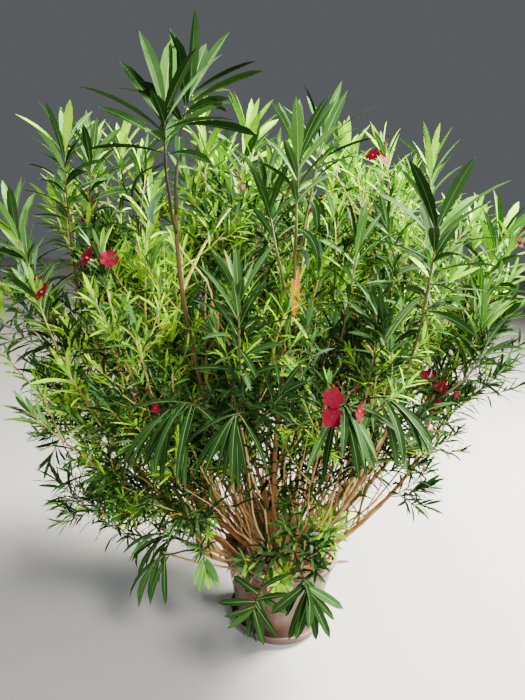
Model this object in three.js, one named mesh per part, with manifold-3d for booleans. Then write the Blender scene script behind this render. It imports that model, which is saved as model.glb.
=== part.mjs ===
// Potted oleander: canes fan out of a round plastic pot that stands in its saucer, and each ends
// in leafy shoots. Millimetres, +Z up. The origin is the centre of the saucer's flat underside.
// Seen from the front, +X is to the right and +Y is away. Azimuths are degrees from +X to +Y.

import * as THREE from 'three';
import { mergeVertices } from 'three/addons/utils/BufferGeometryUtils.js';
import Module from 'manifold-3d';

const wasm = await Module();
wasm.setup();

// Clearance between neighbouring pieces
const GAP = 0.3;
// Corners of a fused solid are kept on a grid this fine
const SNAP = 0.01;

// Saucer, pot and soil
const SAUCER_FOOT_RADIUS = 147;
const SAUCER_RIM_RADIUS = 159;
const SAUCER_HEIGHT = 35;
const SAUCER_WALL = 3;
const POT_FOOT_RADIUS = 130;
const POT_NECK_RADIUS = 178;
const POT_RIM_RADIUS = 187;
const POT_TOP = 253;
const POT_RIM_HEIGHT = 20;
const POT_WALL = 4;
const SOIL_TOP = 224;
const SOIL_EDGE_DROP = 9;
const SOIL_LEVEL_RADIUS = 138;
const ROUND_SIDES = 36;

// Canes: foot radii of the inner and the outer ring of feet, thickness, facets
const FOOT_RING_RADII = [52, 104];
const CANE_FOOT_RADIUS = 9.5;
const CANE_FORK_RADIUS = 4.6;
const CANE_SIDES = 6;
const CANE_STEPS = 7;
const CANE_BEND = 0.09;
const SIDE_SHOOT_BEND = 0.045;
const USUAL_PEAK = 0.5;

// Shoots: the leafy twigs that go on from a cane
const TWIG_SIDES = 3;
const TWIG_STEPS = 4;
const TWIG_FOOT_RADIUS = 4.4;
const TWIG_TIP_RADIUS = 2.7;
const SIDE_TWIGS = 2;
const SIDE_TWIG_STEPS = 2;
const SIDE_TWIG_TIP_RADIUS = 2.2;
const SIDE_TWIG_ANGLE = 48;
const SIDE_TWIG_SHARE = 0.42;
const SIDE_TWIG_BASE = 50;
const SIDE_TWIG_LEAST = 95;
const SIDE_TWIG_RISE = 0.16;
const SIDE_TWIG_TRIES = 5;
const LOWEST_SIDE_TWIG = 0.3;
const SIDE_TWIG_STEP = 0.32;
const SIDE_TWIG_SCATTER = 0.08;
const GOLDEN_ANGLE = 137.5;
const FIRST_SEED = 1000;

// Leaves, in whorls of three
const LEAF_LENGTH = 202;
const LEAF_WIDTH_SHARE = 0.175;
const LEAF_WIDEST_AT = 0.45;
const LEAF_FOLD_SHARE = 0.035;
const LEAF_THICKNESS = 3;
const LEAF_ROOT_DEPTH = 1.1;
const LEAF_DROOP = 0.2;
const LEAF_SIZE_LEAST = 0.86;
const LEAF_SIZE_RANGE = 0.2;
const LEAVES_IN_WHORL = 3;
const LEAF_STAGGER = 3;
const LEAF_ANGLE_RANGE = 12;
const LEAF_TURN_RANGE = 16;
const WHORL_TURN = 60;
const WHORL_STEP = 112;
const CROWN_WHORL_STEP = 24;
const TIP_LEAF_ANGLE = 30;
const SECOND_LEAF_ANGLE = 53;
const FOOT_LEAF_ANGLE = 68;
const LOWEST_STEM_LEAF = 0.35;
const LOWEST_SIDE_LEAF = 0.7;
const LEAF_SIZES_TRIED = [1, 0.82, 0.66];
const SPACE_MARGIN = 3;
const LIMB_MARGIN = 7;
const LEAF_TESTS = 12;
const LEAF_NECK = 25;

// Blossoms: flat five-petalled cups on thin stalks
const BLOSSOM_RADIUS = 25;
const BLOSSOM_NOTCH_RADIUS = 13;
const BLOSSOM_CUP = 6;
const BLOSSOM_THICKNESS = 4;
const BLOSSOM_STALK_RADIUS = 2;
const PETALS = 5;

const GREEN = 0x4f7a2c;
const BARK = 0x8a6f52;
const POT_BROWN = 0x7a5242;
const SOIL_BROWN = 0x5b4334;

// Each cane: its name, the azimuth of its foot, which ring of feet it stands in (0 inner), where
// it forks (share of its curve), and its shoots. A shoot is the azimuth, reach and height of its
// last whorl, and where it leaves the cane (share of the cane, 1 at its tip). Its bend is how far
// its curve lies below (+) or above (-) its chord, its sway how far to the side of more azimuth,
// both as shares of the chord, and its peak how far up the chord that is. Its leaf and droop
// make its leaves shorter and let them hang. The first shoot is the one a cane grows on into.
const CANES = [
  { name: 'right_low', foot: 345, ring: 1, fork: 0.52, shoots: [
    { azimuth: 349, reach: 540, height: 1030 },
    { azimuth: 354, reach: 480, height: 790, bend: -0.12, at: 0.9 }] },
  { name: 'right', foot: 4, ring: 0, fork: 0.55, shoots: [
    { azimuth: 9, reach: 640, height: 1250 },
    { azimuth: 1, reach: 560, height: 1085, at: 0.84 }] },
  { name: 'right_rear', foot: 27, ring: 1, fork: 0.58, shoots: [
    { azimuth: 10, reach: 400, height: 1450 },
    { azimuth: 36, reach: 350, height: 1500, at: 0.94 }] },
  { name: 'rear_right', foot: 50, ring: 0, fork: 0.55, shoots: [
    { azimuth: 54, reach: 440, height: 1400 },
    { azimuth: 42, reach: 650, height: 1010, bend: -0.08, at: 0.84 }] },
  { name: 'rear', foot: 84, ring: 1, fork: 0.56, shoots: [
    { azimuth: 88, reach: 420, height: 1470 },
    { azimuth: 72, reach: 620, height: 1150, at: 0.88 },
    { azimuth: 99, reach: 660, height: 870, bend: -0.1, at: 0.72 }] },
  { name: 'rear_left', foot: 124, ring: 1, fork: 0.55, shoots: [
    { azimuth: 120, reach: 500, height: 1450 },
    { azimuth: 134, reach: 690, height: 1090, at: 0.86 }] },
  { name: 'centre', foot: 140, ring: 0, fork: 0.62, shoots: [
    { azimuth: 144, reach: 170, height: 1520 },
    { azimuth: 166, reach: 300, height: 1370, at: 0.9 }] },
  { name: 'left_rear', foot: 164, ring: 1, fork: 0.55, shoots: [
    { azimuth: 163, reach: 650, height: 1480 },
    { azimuth: 170, reach: 780, height: 780, bend: -0.12, at: 0.66 }] },
  { name: 'left', foot: 184, ring: 0, fork: 0.56, shoots: [
    { azimuth: 181, reach: 790, height: 1260 },
    { azimuth: 178, reach: 570, height: 1450, at: 0.92 }] },
  { name: 'left_front', foot: 190, ring: 1, fork: 0.55, shoots: [
    { azimuth: 197, reach: 690, height: 1090 },
    { azimuth: 189, reach: 650, height: 520, bend: -0.16, at: 0.62 }] },
  { name: 'left_middle', foot: 216, ring: 0, fork: 0.58, shoots: [
    { azimuth: 210, reach: 540, height: 1190 },
    { azimuth: 200, reach: 400, height: 1330, at: 0.9 }] },
  { name: 'rim_left', foot: 212, ring: 1, fork: 0.55, shoots: [
    { azimuth: 206, reach: 400, height: 400, bend: 0, leaf: 0.8, droop: 1.1 },
    { azimuth: 207, reach: 520, height: 730, bend: -0.05, at: 0.8 }] },
  { name: 'tall_left', foot: 240, ring: 0, fork: 0.74, shoots: [
    { azimuth: 229, reach: 385, height: 1560, bend: 0.1, peak: 0.72 },
    { azimuth: 237, reach: 520, height: 1490, at: 0.95 }] },
  { name: 'hanging_left', foot: 248, ring: 1, fork: 0.6, shoots: [
    { azimuth: 242, reach: 510, height: 900, bend: -0.16, droop: 0.9 },
    { azimuth: 253, reach: 450, height: 1130, bend: 0.05, at: 0.9 }] },
  { name: 'middle', foot: 264, ring: 0, fork: 0.78, shoots: [
    { azimuth: 281, reach: 250, height: 1480, sway: -0.06 },
    { azimuth: 268, reach: 350, height: 1430, at: 0.95 },
    { azimuth: 259, reach: 430, height: 350, bend: -0.1, at: 0.14, leaf: 0.62, droop: 0.6 }] },
  { name: 'hanging_right', foot: 284, ring: 1, fork: 0.6, shoots: [
    { azimuth: 283, reach: 470, height: 910, bend: -0.16, droop: 0.9 },
    { azimuth: 303, reach: 270, height: 1230, at: 0.9 },
    { azimuth: 279, reach: 385, height: 365, bend: -0.1, at: 0.2, leaf: 0.62, droop: 0.6 }] },
  { name: 'right_front', foot: 308, ring: 0, fork: 0.62, shoots: [
    { azimuth: 311, reach: 460, height: 1290 },
    { azimuth: 298, reach: 420, height: 1060, at: 0.92 },
    { azimuth: 332, reach: 360, height: 680, bend: -0.14, at: 0.5 }] },
];

// Blossoms: the shoot that bears them (cane and place in its list) and, for each, how far it
// stands from the shoot's last whorl to the right, away and up
const BLOSSOMS = [
  { cane: 'hanging_right', shoot: 0, places: [[-12, -42, 32], [-14, -50, -16], [46, -40, -6]] },
  { cane: 'left_front', shoot: 0, places: [[-22, -34, 40]] },
  { cane: 'left_middle', shoot: 0, places: [[-28, -36, 40], [24, -40, 44]] },
  { cane: 'right_rear', shoot: 1, places: [[-20, -30, 48], [26, -34, 40]] },
  { cane: 'right_low', shoot: 1, places: [[-44, -40, 22], [4, -46, -8], [36, -38, 30]] },
];

const radians = THREE.MathUtils.degToRad;
const up = new THREE.Vector3(0, 0, 1);

// The point at an azimuth, a distance from the pot's axis and a height
function polar(azimuth, reach, height) {
  const a = radians(azimuth);
  return new THREE.Vector3(reach * Math.cos(a), reach * Math.sin(a), height);
}

// Seeded random numbers from 0 to 1
function randomSource(seed) {
  let state = seed >>> 0;
  return () => {
    state = (Math.imul(state, 1664525) + 1013904223) >>> 0;
    return state / 4294967296;
  };
}

// A curve from a point to a shoot's last whorl that bends away from its chord: outwards and down
// for a positive bend, upwards for a negative one, and sideways by its sway
function bentCurve(from, shoot, usualBend) {
  const { bend = usualBend, sway = 0, peak = USUAL_PEAK } = shoot;
  const to = polar(shoot.azimuth, shoot.reach, shoot.height);
  const chord = to.clone().sub(from);
  const along = chord.clone().normalize();
  const below = polar(shoot.azimuth, 1, 0);
  const sideways = up.clone().cross(below);
  below.addScaledVector(along, -below.dot(along)).normalize();
  const middle = from.clone().addScaledVector(chord, peak);
  middle.addScaledVector(below, 2 * bend * chord.length());
  middle.addScaledVector(sideways, 2 * sway * chord.length());
  return new THREE.QuadraticBezierCurve3(from, middle, to);
}

// A unit vector across a direction, turned round it by an angle in degrees
function across(direction, angle) {
  const side = Math.abs(direction.z) > 0.95 ? new THREE.Vector3(1, 0, 0) : up.clone();
  side.cross(direction).normalize();
  return side.applyAxisAngle(direction, radians(angle));
}

// A closed tube of flat facets along a list of points, with one radius and one direction at each
function tube(points, radii, directions, sides) {
  const positions = [];
  let side = across(directions[0], 0);
  points.forEach((point, i) => {
    side.addScaledVector(directions[i], -side.dot(directions[i])).normalize();
    for (let k = 0; k < sides; k += 1) {
      const turned = side.clone().applyAxisAngle(directions[i], (2 * Math.PI * k) / sides);
      const corner = point.clone().addScaledVector(turned, radii[i]);
      positions.push(corner.x, corner.y, corner.z);
    }
  });
  const faces = [];
  for (let i = 0; i + 1 < points.length; i += 1) {
    for (let k = 0; k < sides; k += 1) {
      const a = i * sides + k;
      const b = i * sides + ((k + 1) % sides);
      faces.push(a, b, b + sides, a, b + sides, a + sides);
    }
  }
  const last = (points.length - 1) * sides;
  for (let k = 1; k + 1 < sides; k += 1) {
    faces.push(0, k + 1, k, last, last + k, last + k + 1);
  }
  return facets(positions, faces);
}

function facets(positions, faces) {
  const geometry = new THREE.BufferGeometry();
  geometry.setAttribute('position', new THREE.Float32BufferAttribute(positions, 3));
  geometry.setIndex(faces);
  return geometry;
}

// A turned solid from its profile, a list of radius and height
function turned(profile) {
  const points = profile.map(([radius, height]) => new THREE.Vector2(radius, height));
  return new THREE.LatheGeometry(points, ROUND_SIDES).rotateX(Math.PI / 2);
}

// A closed geometry as a solid that can be joined and cut
function solid(geometry) {
  const bare = geometry.clone();
  bare.deleteAttribute('normal');
  bare.deleteAttribute('uv');
  const merged = mergeVertices(bare, 1e-4);
  return new wasm.Manifold(new wasm.Mesh({
    numProp: 3,
    vertProperties: merged.attributes.position.array,
    triVerts: new Uint32Array(merged.index.array),
  }));
}

// The largest body of a solid as a geometry: loose scraps are dropped and sealed hollows filled
function mainBody(made) {
  const mesh = made.getMesh();
  const keys = new Map();
  const places = [];
  const index = [];
  for (let i = 0; i < mesh.vertProperties.length; i += mesh.numProp) {
    const snapped = [0, 1, 2].map((k) => Math.round(mesh.vertProperties[i + k] / SNAP) * SNAP);
    const key = snapped.join(' ');
    if (!keys.has(key)) {
      keys.set(key, places.length);
      places.push(snapped);
    }
    index.push(keys.get(key));
  }
  const group = places.map((_, i) => i);
  const rootOf = (i) => {
    let root = i;
    while (group[root] !== root) root = group[root];
    group[i] = root;
    return root;
  };
  const triangles = [];
  for (let i = 0; i < mesh.triVerts.length; i += 3) {
    const corners = [0, 1, 2].map((k) => index[mesh.triVerts[i + k]]);
    if (new Set(corners).size < 3) continue;
    triangles.push(corners);
    group[rootOf(corners[1])] = rootOf(corners[0]);
    group[rootOf(corners[2])] = rootOf(corners[0]);
  }
  const volumes = new Map();
  triangles.forEach(([a, b, c]) => {
    const [p, q, r] = [places[a], places[b], places[c]].map((v) => new THREE.Vector3(...v));
    const root = rootOf(a);
    volumes.set(root, (volumes.get(root) || 0) + p.dot(q.cross(r)));
  });
  const largest = [...volumes].sort((a, b) => b[1] - a[1])[0][0];
  const kept = triangles.filter(([a]) => rootOf(a) === largest);
  return facets(places.flat(), kept.flat());
}

const model = new THREE.Group();

function addPiece(name, geometry, color, roughness) {
  const material = new THREE.MeshStandardMaterial({ color, roughness, metalness: 0 });
  const mesh = new THREE.Mesh(geometry, material);
  mesh.name = name;
  model.add(mesh);
}

// The saucer is a shallow dish with a flat underside
function saucer() {
  const lip = SAUCER_RIM_RADIUS + 2;
  return turned([
    [0, 0],
    [SAUCER_FOOT_RADIUS, 0],
    [SAUCER_RIM_RADIUS - 1, SAUCER_HEIGHT - 6],
    [lip, SAUCER_HEIGHT - 5],
    [lip, SAUCER_HEIGHT],
    [SAUCER_RIM_RADIUS - SAUCER_WALL, SAUCER_HEIGHT],
    [SAUCER_FOOT_RADIUS - SAUCER_WALL, SAUCER_WALL],
    [0, SAUCER_WALL],
  ]);
}

// The radius of the pot's inner wall at a height
function potInnerRadius(height) {
  const share = (height - SAUCER_WALL) / (POT_TOP - POT_RIM_HEIGHT - SAUCER_WALL);
  return THREE.MathUtils.lerp(POT_FOOT_RADIUS, POT_NECK_RADIUS, share) - POT_WALL;
}

// The pot is a tapered shell with a standing rim, open at the top
function pot() {
  const foot = SAUCER_WALL + GAP;
  const rimFoot = POT_TOP - POT_RIM_HEIGHT;
  return turned([
    [0, foot],
    [POT_FOOT_RADIUS, foot],
    [POT_NECK_RADIUS, rimFoot],
    [POT_RIM_RADIUS - 2, rimFoot + 1],
    [POT_RIM_RADIUS, rimFoot + 4],
    [POT_RIM_RADIUS, POT_TOP - 4],
    [POT_RIM_RADIUS - 3, POT_TOP],
    [POT_RIM_RADIUS - 8, POT_TOP],
    [potInnerRadius(rimFoot), rimFoot],
    [potInnerRadius(foot + POT_WALL), foot + POT_WALL],
    [0, foot + POT_WALL],
  ]);
}

// The soil fills the pot and is level where the canes stand
function soil() {
  const foot = SAUCER_WALL + POT_WALL + 2 * GAP;
  const edge = SOIL_TOP - SOIL_EDGE_DROP;
  return turned([
    [0, foot],
    [potInnerRadius(foot) - GAP - 0.2, foot],
    [potInnerRadius(edge) - GAP - 0.2, edge],
    [SOIL_LEVEL_RADIUS, SOIL_TOP],
    [0, SOIL_TOP],
  ]);
}

// Where a cane's curve lies, from its foot on the soil to its first shoot's last whorl
function caneCurve(cane) {
  const foot = polar(cane.foot, FOOT_RING_RADII[cane.ring], SOIL_TOP + GAP);
  return bentCurve(foot, cane.shoots[0], CANE_BEND);
}

// A limb is the points, radii and directions of one tapering tube
function limbAlong(curve, from, to, steps, fromRadius, toRadius) {
  const points = [];
  const radii = [];
  const directions = [];
  for (let i = 0; i <= steps; i += 1) {
    const share = i / steps;
    const t = from + (to - from) * share;
    points.push(curve.getPoint(t));
    directions.push(curve.getTangent(t));
    radii.push(THREE.MathUtils.lerp(fromRadius, toRadius, share));
  }
  return { points, radii, directions };
}

function caneLimb(cane) {
  const curve = caneCurve(cane);
  const limb = limbAlong(curve, 0, cane.fork, CANE_STEPS, CANE_FOOT_RADIUS, CANE_FORK_RADIUS);
  limb.directions[0] = up.clone();
  return { ...limb, curve };
}

// The stem of a shoot: it starts just clear of the cane's tip, or inside the cane's side, where
// the cane is cut out of it afterwards
function shootCurve(cane, shoot, number) {
  const curve = caneCurve(cane);
  if (number > 0) {
    return bentCurve(curve.getPoint(cane.fork * shoot.at), shoot, SIDE_SHOOT_BEND);
  }
  const from = curve.getPoint(cane.fork).addScaledVector(curve.getTangent(cane.fork), GAP);
  const middle = curve.v1.clone().lerp(curve.v2, cane.fork);
  return new THREE.QuadraticBezierCurve3(from, middle, curve.v2);
}

// The distance from a point to a chain of straight stretches, and the radius there
function nearest(point, limb) {
  const stretch = new THREE.Line3();
  const foot = new THREE.Vector3();
  let best = Infinity;
  let radius = 0;
  for (let i = 0; i + 1 < limb.points.length; i += 1) {
    stretch.set(limb.points[i], limb.points[i + 1]);
    stretch.closestPointToPoint(point, true, foot);
    const distance = foot.distanceTo(point);
    if (distance < best) {
      best = distance;
      radius = Math.max(limb.radii[i], limb.radii[i + 1]);
    }
  }
  return { distance: best, radius };
}

const canes = CANES.map((cane) => ({ ...cane, limb: caneLimb(cane) }));

const masses = canes.flatMap((cane) => cane.shoots.map((shoot, number) => {
  const curve = shootCurve(cane, shoot, number);
  const stem = limbAlong(curve, 0, 1, TWIG_STEPS, TWIG_FOOT_RADIUS, TWIG_TIP_RADIUS);
  const spray = BLOSSOMS.find((entry) => entry.cane === cane.name && entry.shoot === number);
  const places = (spray ? spray.places : []).map((place) => new THREE.Vector3(...place));
  const blossoms = places.map((place) => ({ place, centre: place.clone().add(curve.v2) }));
  const leaf = LEAF_LENGTH * (shoot.leaf ?? 1);
  const droop = shoot.droop ?? LEAF_DROOP;
  const name = `foliage_${cane.name}_${number + 1}`;
  return { cane, number, curve, stem, blossoms, leaf, droop, name };
}));

// Whether all of some points are nearer to their own mass's stem than to any other, clear of
// every cane and of the others' blossoms, and clear of the pot
function keepsToSpace(points, mass) {
  return points.every((point) => {
    const own = nearest(point, mass.stem).distance;
    const potSide = Math.hypot(point.x, point.y) < POT_RIM_RADIUS + LIMB_MARGIN;
    if (potSide && point.z < POT_TOP + LIMB_MARGIN) return false;
    if (point.z < LIMB_MARGIN) return false;
    const nearCane = canes.some((cane) => {
      const { distance, radius } = nearest(point, cane.limb);
      return distance < radius + LIMB_MARGIN;
    });
    if (nearCane) return false;
    return masses.every((other) => {
      if (other === mass) return true;
      const inBlossom = other.blossoms.some(({ centre }) => (
        centre.distanceTo(point) < BLOSSOM_RADIUS + LIMB_MARGIN));
      return !inBlossom && nearest(point, other.stem).distance > own + SPACE_MARGIN;
    });
  });
}

// A leaf: a narrow diamond folded up along its midrib, its root sunk in the twig. Returns its
// corners, and the points by which it is tested.
function leafAt(root, direction, twigDirection, length) {
  const side = direction.clone().cross(twigDirection).normalize();
  const face = side.clone().cross(direction).normalize();
  const at = (along, sideways, upwards) => root.clone()
    .addScaledVector(direction, along)
    .addScaledVector(side, sideways)
    .addScaledVector(face, upwards);
  const half = (length * LEAF_WIDTH_SHARE) / 2;
  const widest = length * LEAF_WIDEST_AT;
  const fold = length * LEAF_FOLD_SHARE;
  const corners = [
    at(0, 0, LEAF_ROOT_DEPTH),
    at(0, 0, -LEAF_ROOT_DEPTH),
    at(widest, half, fold),
    at(widest, -half, fold),
    at(widest, 0, LEAF_ROOT_DEPTH / 2 - LEAF_THICKNESS),
    at(length, 0, 0),
  ];
  const tested = [];
  for (let i = 1; i <= LEAF_TESTS; i += 1) {
    const along = (length * i) / LEAF_TESTS;
    const share = along < widest ? along / widest : (length - along) / (length - widest);
    if (along < LEAF_NECK) continue;
    [-1, -0.5, 0, 0.5, 1].forEach((sideways) => {
      tested.push(at(along, half * share * sideways, fold * share * Math.abs(sideways)));
    });
  }
  return { corners, tested };
}

// The leaf's triangles: two on its face, two at its root and four beneath
const LEAF_FACES = [0, 2, 5, 0, 5, 3, 0, 1, 2, 0, 3, 1, 1, 4, 2, 2, 4, 5, 1, 3, 4, 3, 5, 4];

function leafSolid({ corners }) {
  return solid(facets(corners.flatMap((v) => [v.x, v.y, v.z]), LEAF_FACES));
}

// Leaves in whorls down a twig from its tip: upright at the tip, spreading lower down
function leavesOn(twig, mass, lowest, random) {
  const found = [];
  const length = twig.curve.getLength();
  const whorls = Math.max(1, Math.floor((length * (1 - lowest)) / WHORL_STEP) + 1);
  for (let w = 0; w < whorls; w += 1) {
    const below = w > 0 ? CROWN_WHORL_STEP + (w - 1) * WHORL_STEP : 0;
    const t = 1 - (below + LEAF_STAGGER) / length;
    const lower = THREE.MathUtils.lerp(SECOND_LEAF_ANGLE, FOOT_LEAF_ANGLE, w / whorls);
    const spread = w > 0 ? lower : TIP_LEAF_ANGLE;
    const turn = WHORL_TURN * w + 360 * random();
    for (let k = 0; k < LEAVES_IN_WHORL; k += 1) {
      const place = t - (LEAF_STAGGER * k) / length;
      const root = twig.curve.getPoint(place);
      const twigDirection = twig.curve.getTangent(place);
      const angle = radians(spread + LEAF_ANGLE_RANGE * (random() - 0.5));
      const aside = turn + (360 / LEAVES_IN_WHORL) * k + LEAF_TURN_RANGE * random();
      const outward = across(twigDirection, aside);
      const direction = twigDirection.clone().multiplyScalar(Math.cos(angle));
      direction.addScaledVector(outward, Math.sin(angle));
      direction.z -= mass.droop * (0.4 + 0.6 * Math.sin(angle));
      direction.normalize();
      const full = mass.leaf * (LEAF_SIZE_LEAST + LEAF_SIZE_RANGE * random());
      const sizes = LEAF_SIZES_TRIED.map((size) => leafAt(root, direction, twigDirection, full * size));
      const leaf = sizes.find(({ tested }) => keepsToSpace(tested, mass));
      if (leaf) found.push(leafSolid(leaf));
    }
  }
  return found;
}

// Side twigs of a shoot: turned round it by the golden angle, and skipped where they don't fit
function sideTwigs(mass, random) {
  const found = [];
  const length = mass.curve.getLength();
  for (let k = 0; k < SIDE_TWIGS; k += 1) {
    const t = LOWEST_SIDE_TWIG + SIDE_TWIG_STEP * k + SIDE_TWIG_SCATTER * random();
    const from = mass.curve.getPoint(t);
    const stemDirection = mass.curve.getTangent(t);
    const share = length * (1 - t) * SIDE_TWIG_SHARE;
    const reach = Math.max(SIDE_TWIG_LEAST, share + SIDE_TWIG_BASE);
    const start = 360 * random();
    for (let attempt = 0; attempt < SIDE_TWIG_TRIES; attempt += 1) {
      const outward = across(stemDirection, start + GOLDEN_ANGLE * (k + attempt));
      const direction = stemDirection.clone().multiplyScalar(Math.cos(radians(SIDE_TWIG_ANGLE)));
      direction.addScaledVector(outward, Math.sin(radians(SIDE_TWIG_ANGLE)));
      const middle = from.clone().addScaledVector(direction, reach / 2);
      const to = middle.clone().addScaledVector(direction, reach / 2);
      to.z += SIDE_TWIG_RISE * reach;
      const curve = new THREE.QuadraticBezierCurve3(from, middle, to);
      const tested = [0.3, 0.45, 0.6, 0.75, 0.9, 1].map((along) => curve.getPoint(along));
      if (!keepsToSpace(tested, mass)) continue;
      const limb = limbAlong(curve, 0, 1, SIDE_TWIG_STEPS, TWIG_TIP_RADIUS, SIDE_TWIG_TIP_RADIUS);
      found.push({ curve, limb });
      break;
    }
  }
  return found;
}

// A blossom with five petals on its stalk from the shoot's tip
function blossom(tip, { place, centre }) {
  const facing = place.clone().normalize();
  const positions = [];
  const middle = centre.clone().addScaledVector(facing, BLOSSOM_THICKNESS / 2);
  const back = centre.clone().addScaledVector(facing, -BLOSSOM_THICKNESS / 2);
  positions.push(middle.x, middle.y, middle.z, back.x, back.y, back.z);
  const faces = [];
  const corners = 2 * PETALS;
  for (let k = 0; k < corners; k += 1) {
    const radius = k % 2 ? BLOSSOM_NOTCH_RADIUS : BLOSSOM_RADIUS;
    const corner = centre.clone().addScaledVector(across(facing, (360 * k) / corners), radius);
    corner.addScaledVector(facing, (BLOSSOM_CUP * radius) / BLOSSOM_RADIUS);
    positions.push(corner.x, corner.y, corner.z);
    const here = 2 + k;
    const next = 2 + ((k + 1) % corners);
    faces.push(0, here, next, 1, next, here);
  }
  const stalk = new THREE.LineCurve3(tip.clone(), centre);
  const limb = limbAlong(stalk, 0, 1, 1, BLOSSOM_STALK_RADIUS, BLOSSOM_STALK_RADIUS);
  const stem = solid(tube(limb.points, limb.radii, limb.directions, TWIG_SIDES));
  return solid(facets(positions, faces)).add(stem);
}

// A mass of foliage: its stem, side twigs and leaves fused, and its cane cut clear of it
function foliage(mass, seed) {
  const random = randomSource(seed);
  const { points, radii, directions } = mass.stem;
  let made = solid(tube(points, radii, directions, TWIG_SIDES));
  const side = sideTwigs(mass, random);
  side.forEach(({ limb }) => {
    made = made.add(solid(tube(limb.points, limb.radii, limb.directions, TWIG_SIDES)));
  });
  const leaves = leavesOn(mass, mass, LOWEST_STEM_LEAF, random);
  side.forEach((twig) => leaves.push(...leavesOn(twig, mass, LOWEST_SIDE_LEAF, random)));
  leaves.forEach((leaf) => {
    made = made.add(leaf);
  });
  mass.blossoms.forEach((entry) => {
    made = made.add(blossom(mass.curve.v2, entry));
  });
  if (mass.number > 0) {
    const cane = mass.cane.limb;
    const wider = cane.radii.map((radius) => radius + GAP / Math.cos(Math.PI / CANE_SIDES));
    made = made.subtract(solid(tube(cane.points, wider, cane.directions, CANE_SIDES)));
  }
  return mainBody(made);
}

addPiece('saucer', saucer(), POT_BROWN, 0.45);
addPiece('pot', pot(), POT_BROWN, 0.45);
addPiece('soil', soil(), SOIL_BROWN, 0.95);
canes.forEach(({ name, limb }) => {
  addPiece(`cane_${name}`, tube(limb.points, limb.radii, limb.directions, CANE_SIDES), BARK, 0.8);
});
masses.forEach((mass, number) => {
  addPiece(mass.name, foliage(mass, FIRST_SEED + number), GREEN, 0.5);
});

export default model;
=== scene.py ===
"""A potted oleander: canes fan out of a round plastic pot and end in shoots with whorls of leaves.

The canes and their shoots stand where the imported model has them, by the same curves, and the
blossoms near where it has them. Slighter shoots and a few more blossoms are added here. Twigs,
leaves, buds and leaf litter are grown on from all of them by seeded rules. Metres, +Z up, the
origin under the pot's axis. Azimuths are degrees from +X towards +Y.
"""

import math

import bpy
import numpy as np
from bpy.props import FloatProperty, FloatVectorProperty, IntProperty, PointerProperty
from bpy.types import Operator, Panel, PropertyGroup
from mathutils import Matrix, Vector


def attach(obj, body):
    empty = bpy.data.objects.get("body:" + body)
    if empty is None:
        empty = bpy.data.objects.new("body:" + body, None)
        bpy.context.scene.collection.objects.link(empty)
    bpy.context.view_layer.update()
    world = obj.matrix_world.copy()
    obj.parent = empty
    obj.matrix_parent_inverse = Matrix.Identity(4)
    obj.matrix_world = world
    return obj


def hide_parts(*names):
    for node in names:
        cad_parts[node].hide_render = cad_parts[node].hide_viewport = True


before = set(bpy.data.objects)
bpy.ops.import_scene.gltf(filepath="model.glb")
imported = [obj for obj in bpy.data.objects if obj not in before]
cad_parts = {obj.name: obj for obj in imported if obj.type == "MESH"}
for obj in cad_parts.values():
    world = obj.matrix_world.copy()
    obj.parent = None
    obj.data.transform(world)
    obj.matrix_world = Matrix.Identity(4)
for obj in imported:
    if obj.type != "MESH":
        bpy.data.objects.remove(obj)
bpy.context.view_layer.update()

bl_info = {
    "name": "Potted oleander",
    "version": (1, 0, 0),
    "blender": (4, 5, 0),
    "location": "3D View > Sidebar > Oleander",
    "description": "Dresses the frame of a potted oleander with bark, twigs, leaves and blossoms",
    "category": "Object",
}

# Where the canes stand: radii of the inner and the outer ring of feet, the soil's level, how
# far inside the pot's mouth growth stays, and the usual bends of canes, side shoots and young
# shoots
FOOT_RING_RADII = (0.052, 0.104)
SOIL_TOP = 0.224
MOUTH_MARGIN = 0.01
CANE_BEND = 0.09
SIDE_SHOOT_BEND = 0.045
YOUNG_SHOOT_BEND = 0.08

USUAL_SHOOT = dict(bend=None, sway=0, peak=0.5, at=1, droop=0.12, leafy=0.72, broad=0.14,
                   spread=1, twigs=1, old=0)


def shoot_to(azimuth, reach, height, leaf, light, **words):
    """A shoot: the azimuth, reach and height of its last whorl, its leaves' size as a share of the
    usual, and its light, painted into its leaves' green, from 0 for deep green in painted shade to
    1 for lime in painted sun. Further words are at, where it leaves its cane (a share of the
    cane), bend, sway and peak, which shape its curve, broad and droop, its leaves' width share and
    how much they hang, spread, how far they open, leafy, the share of its length that bears
    leaves, twigs, how closely its side twigs stand, and old, how many single old leaves hang below
    them."""
    return USUAL_SHOOT | dict(azimuth=azimuth, reach=reach, height=height, leaf=leaf,
                              light=light, **words)


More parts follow.
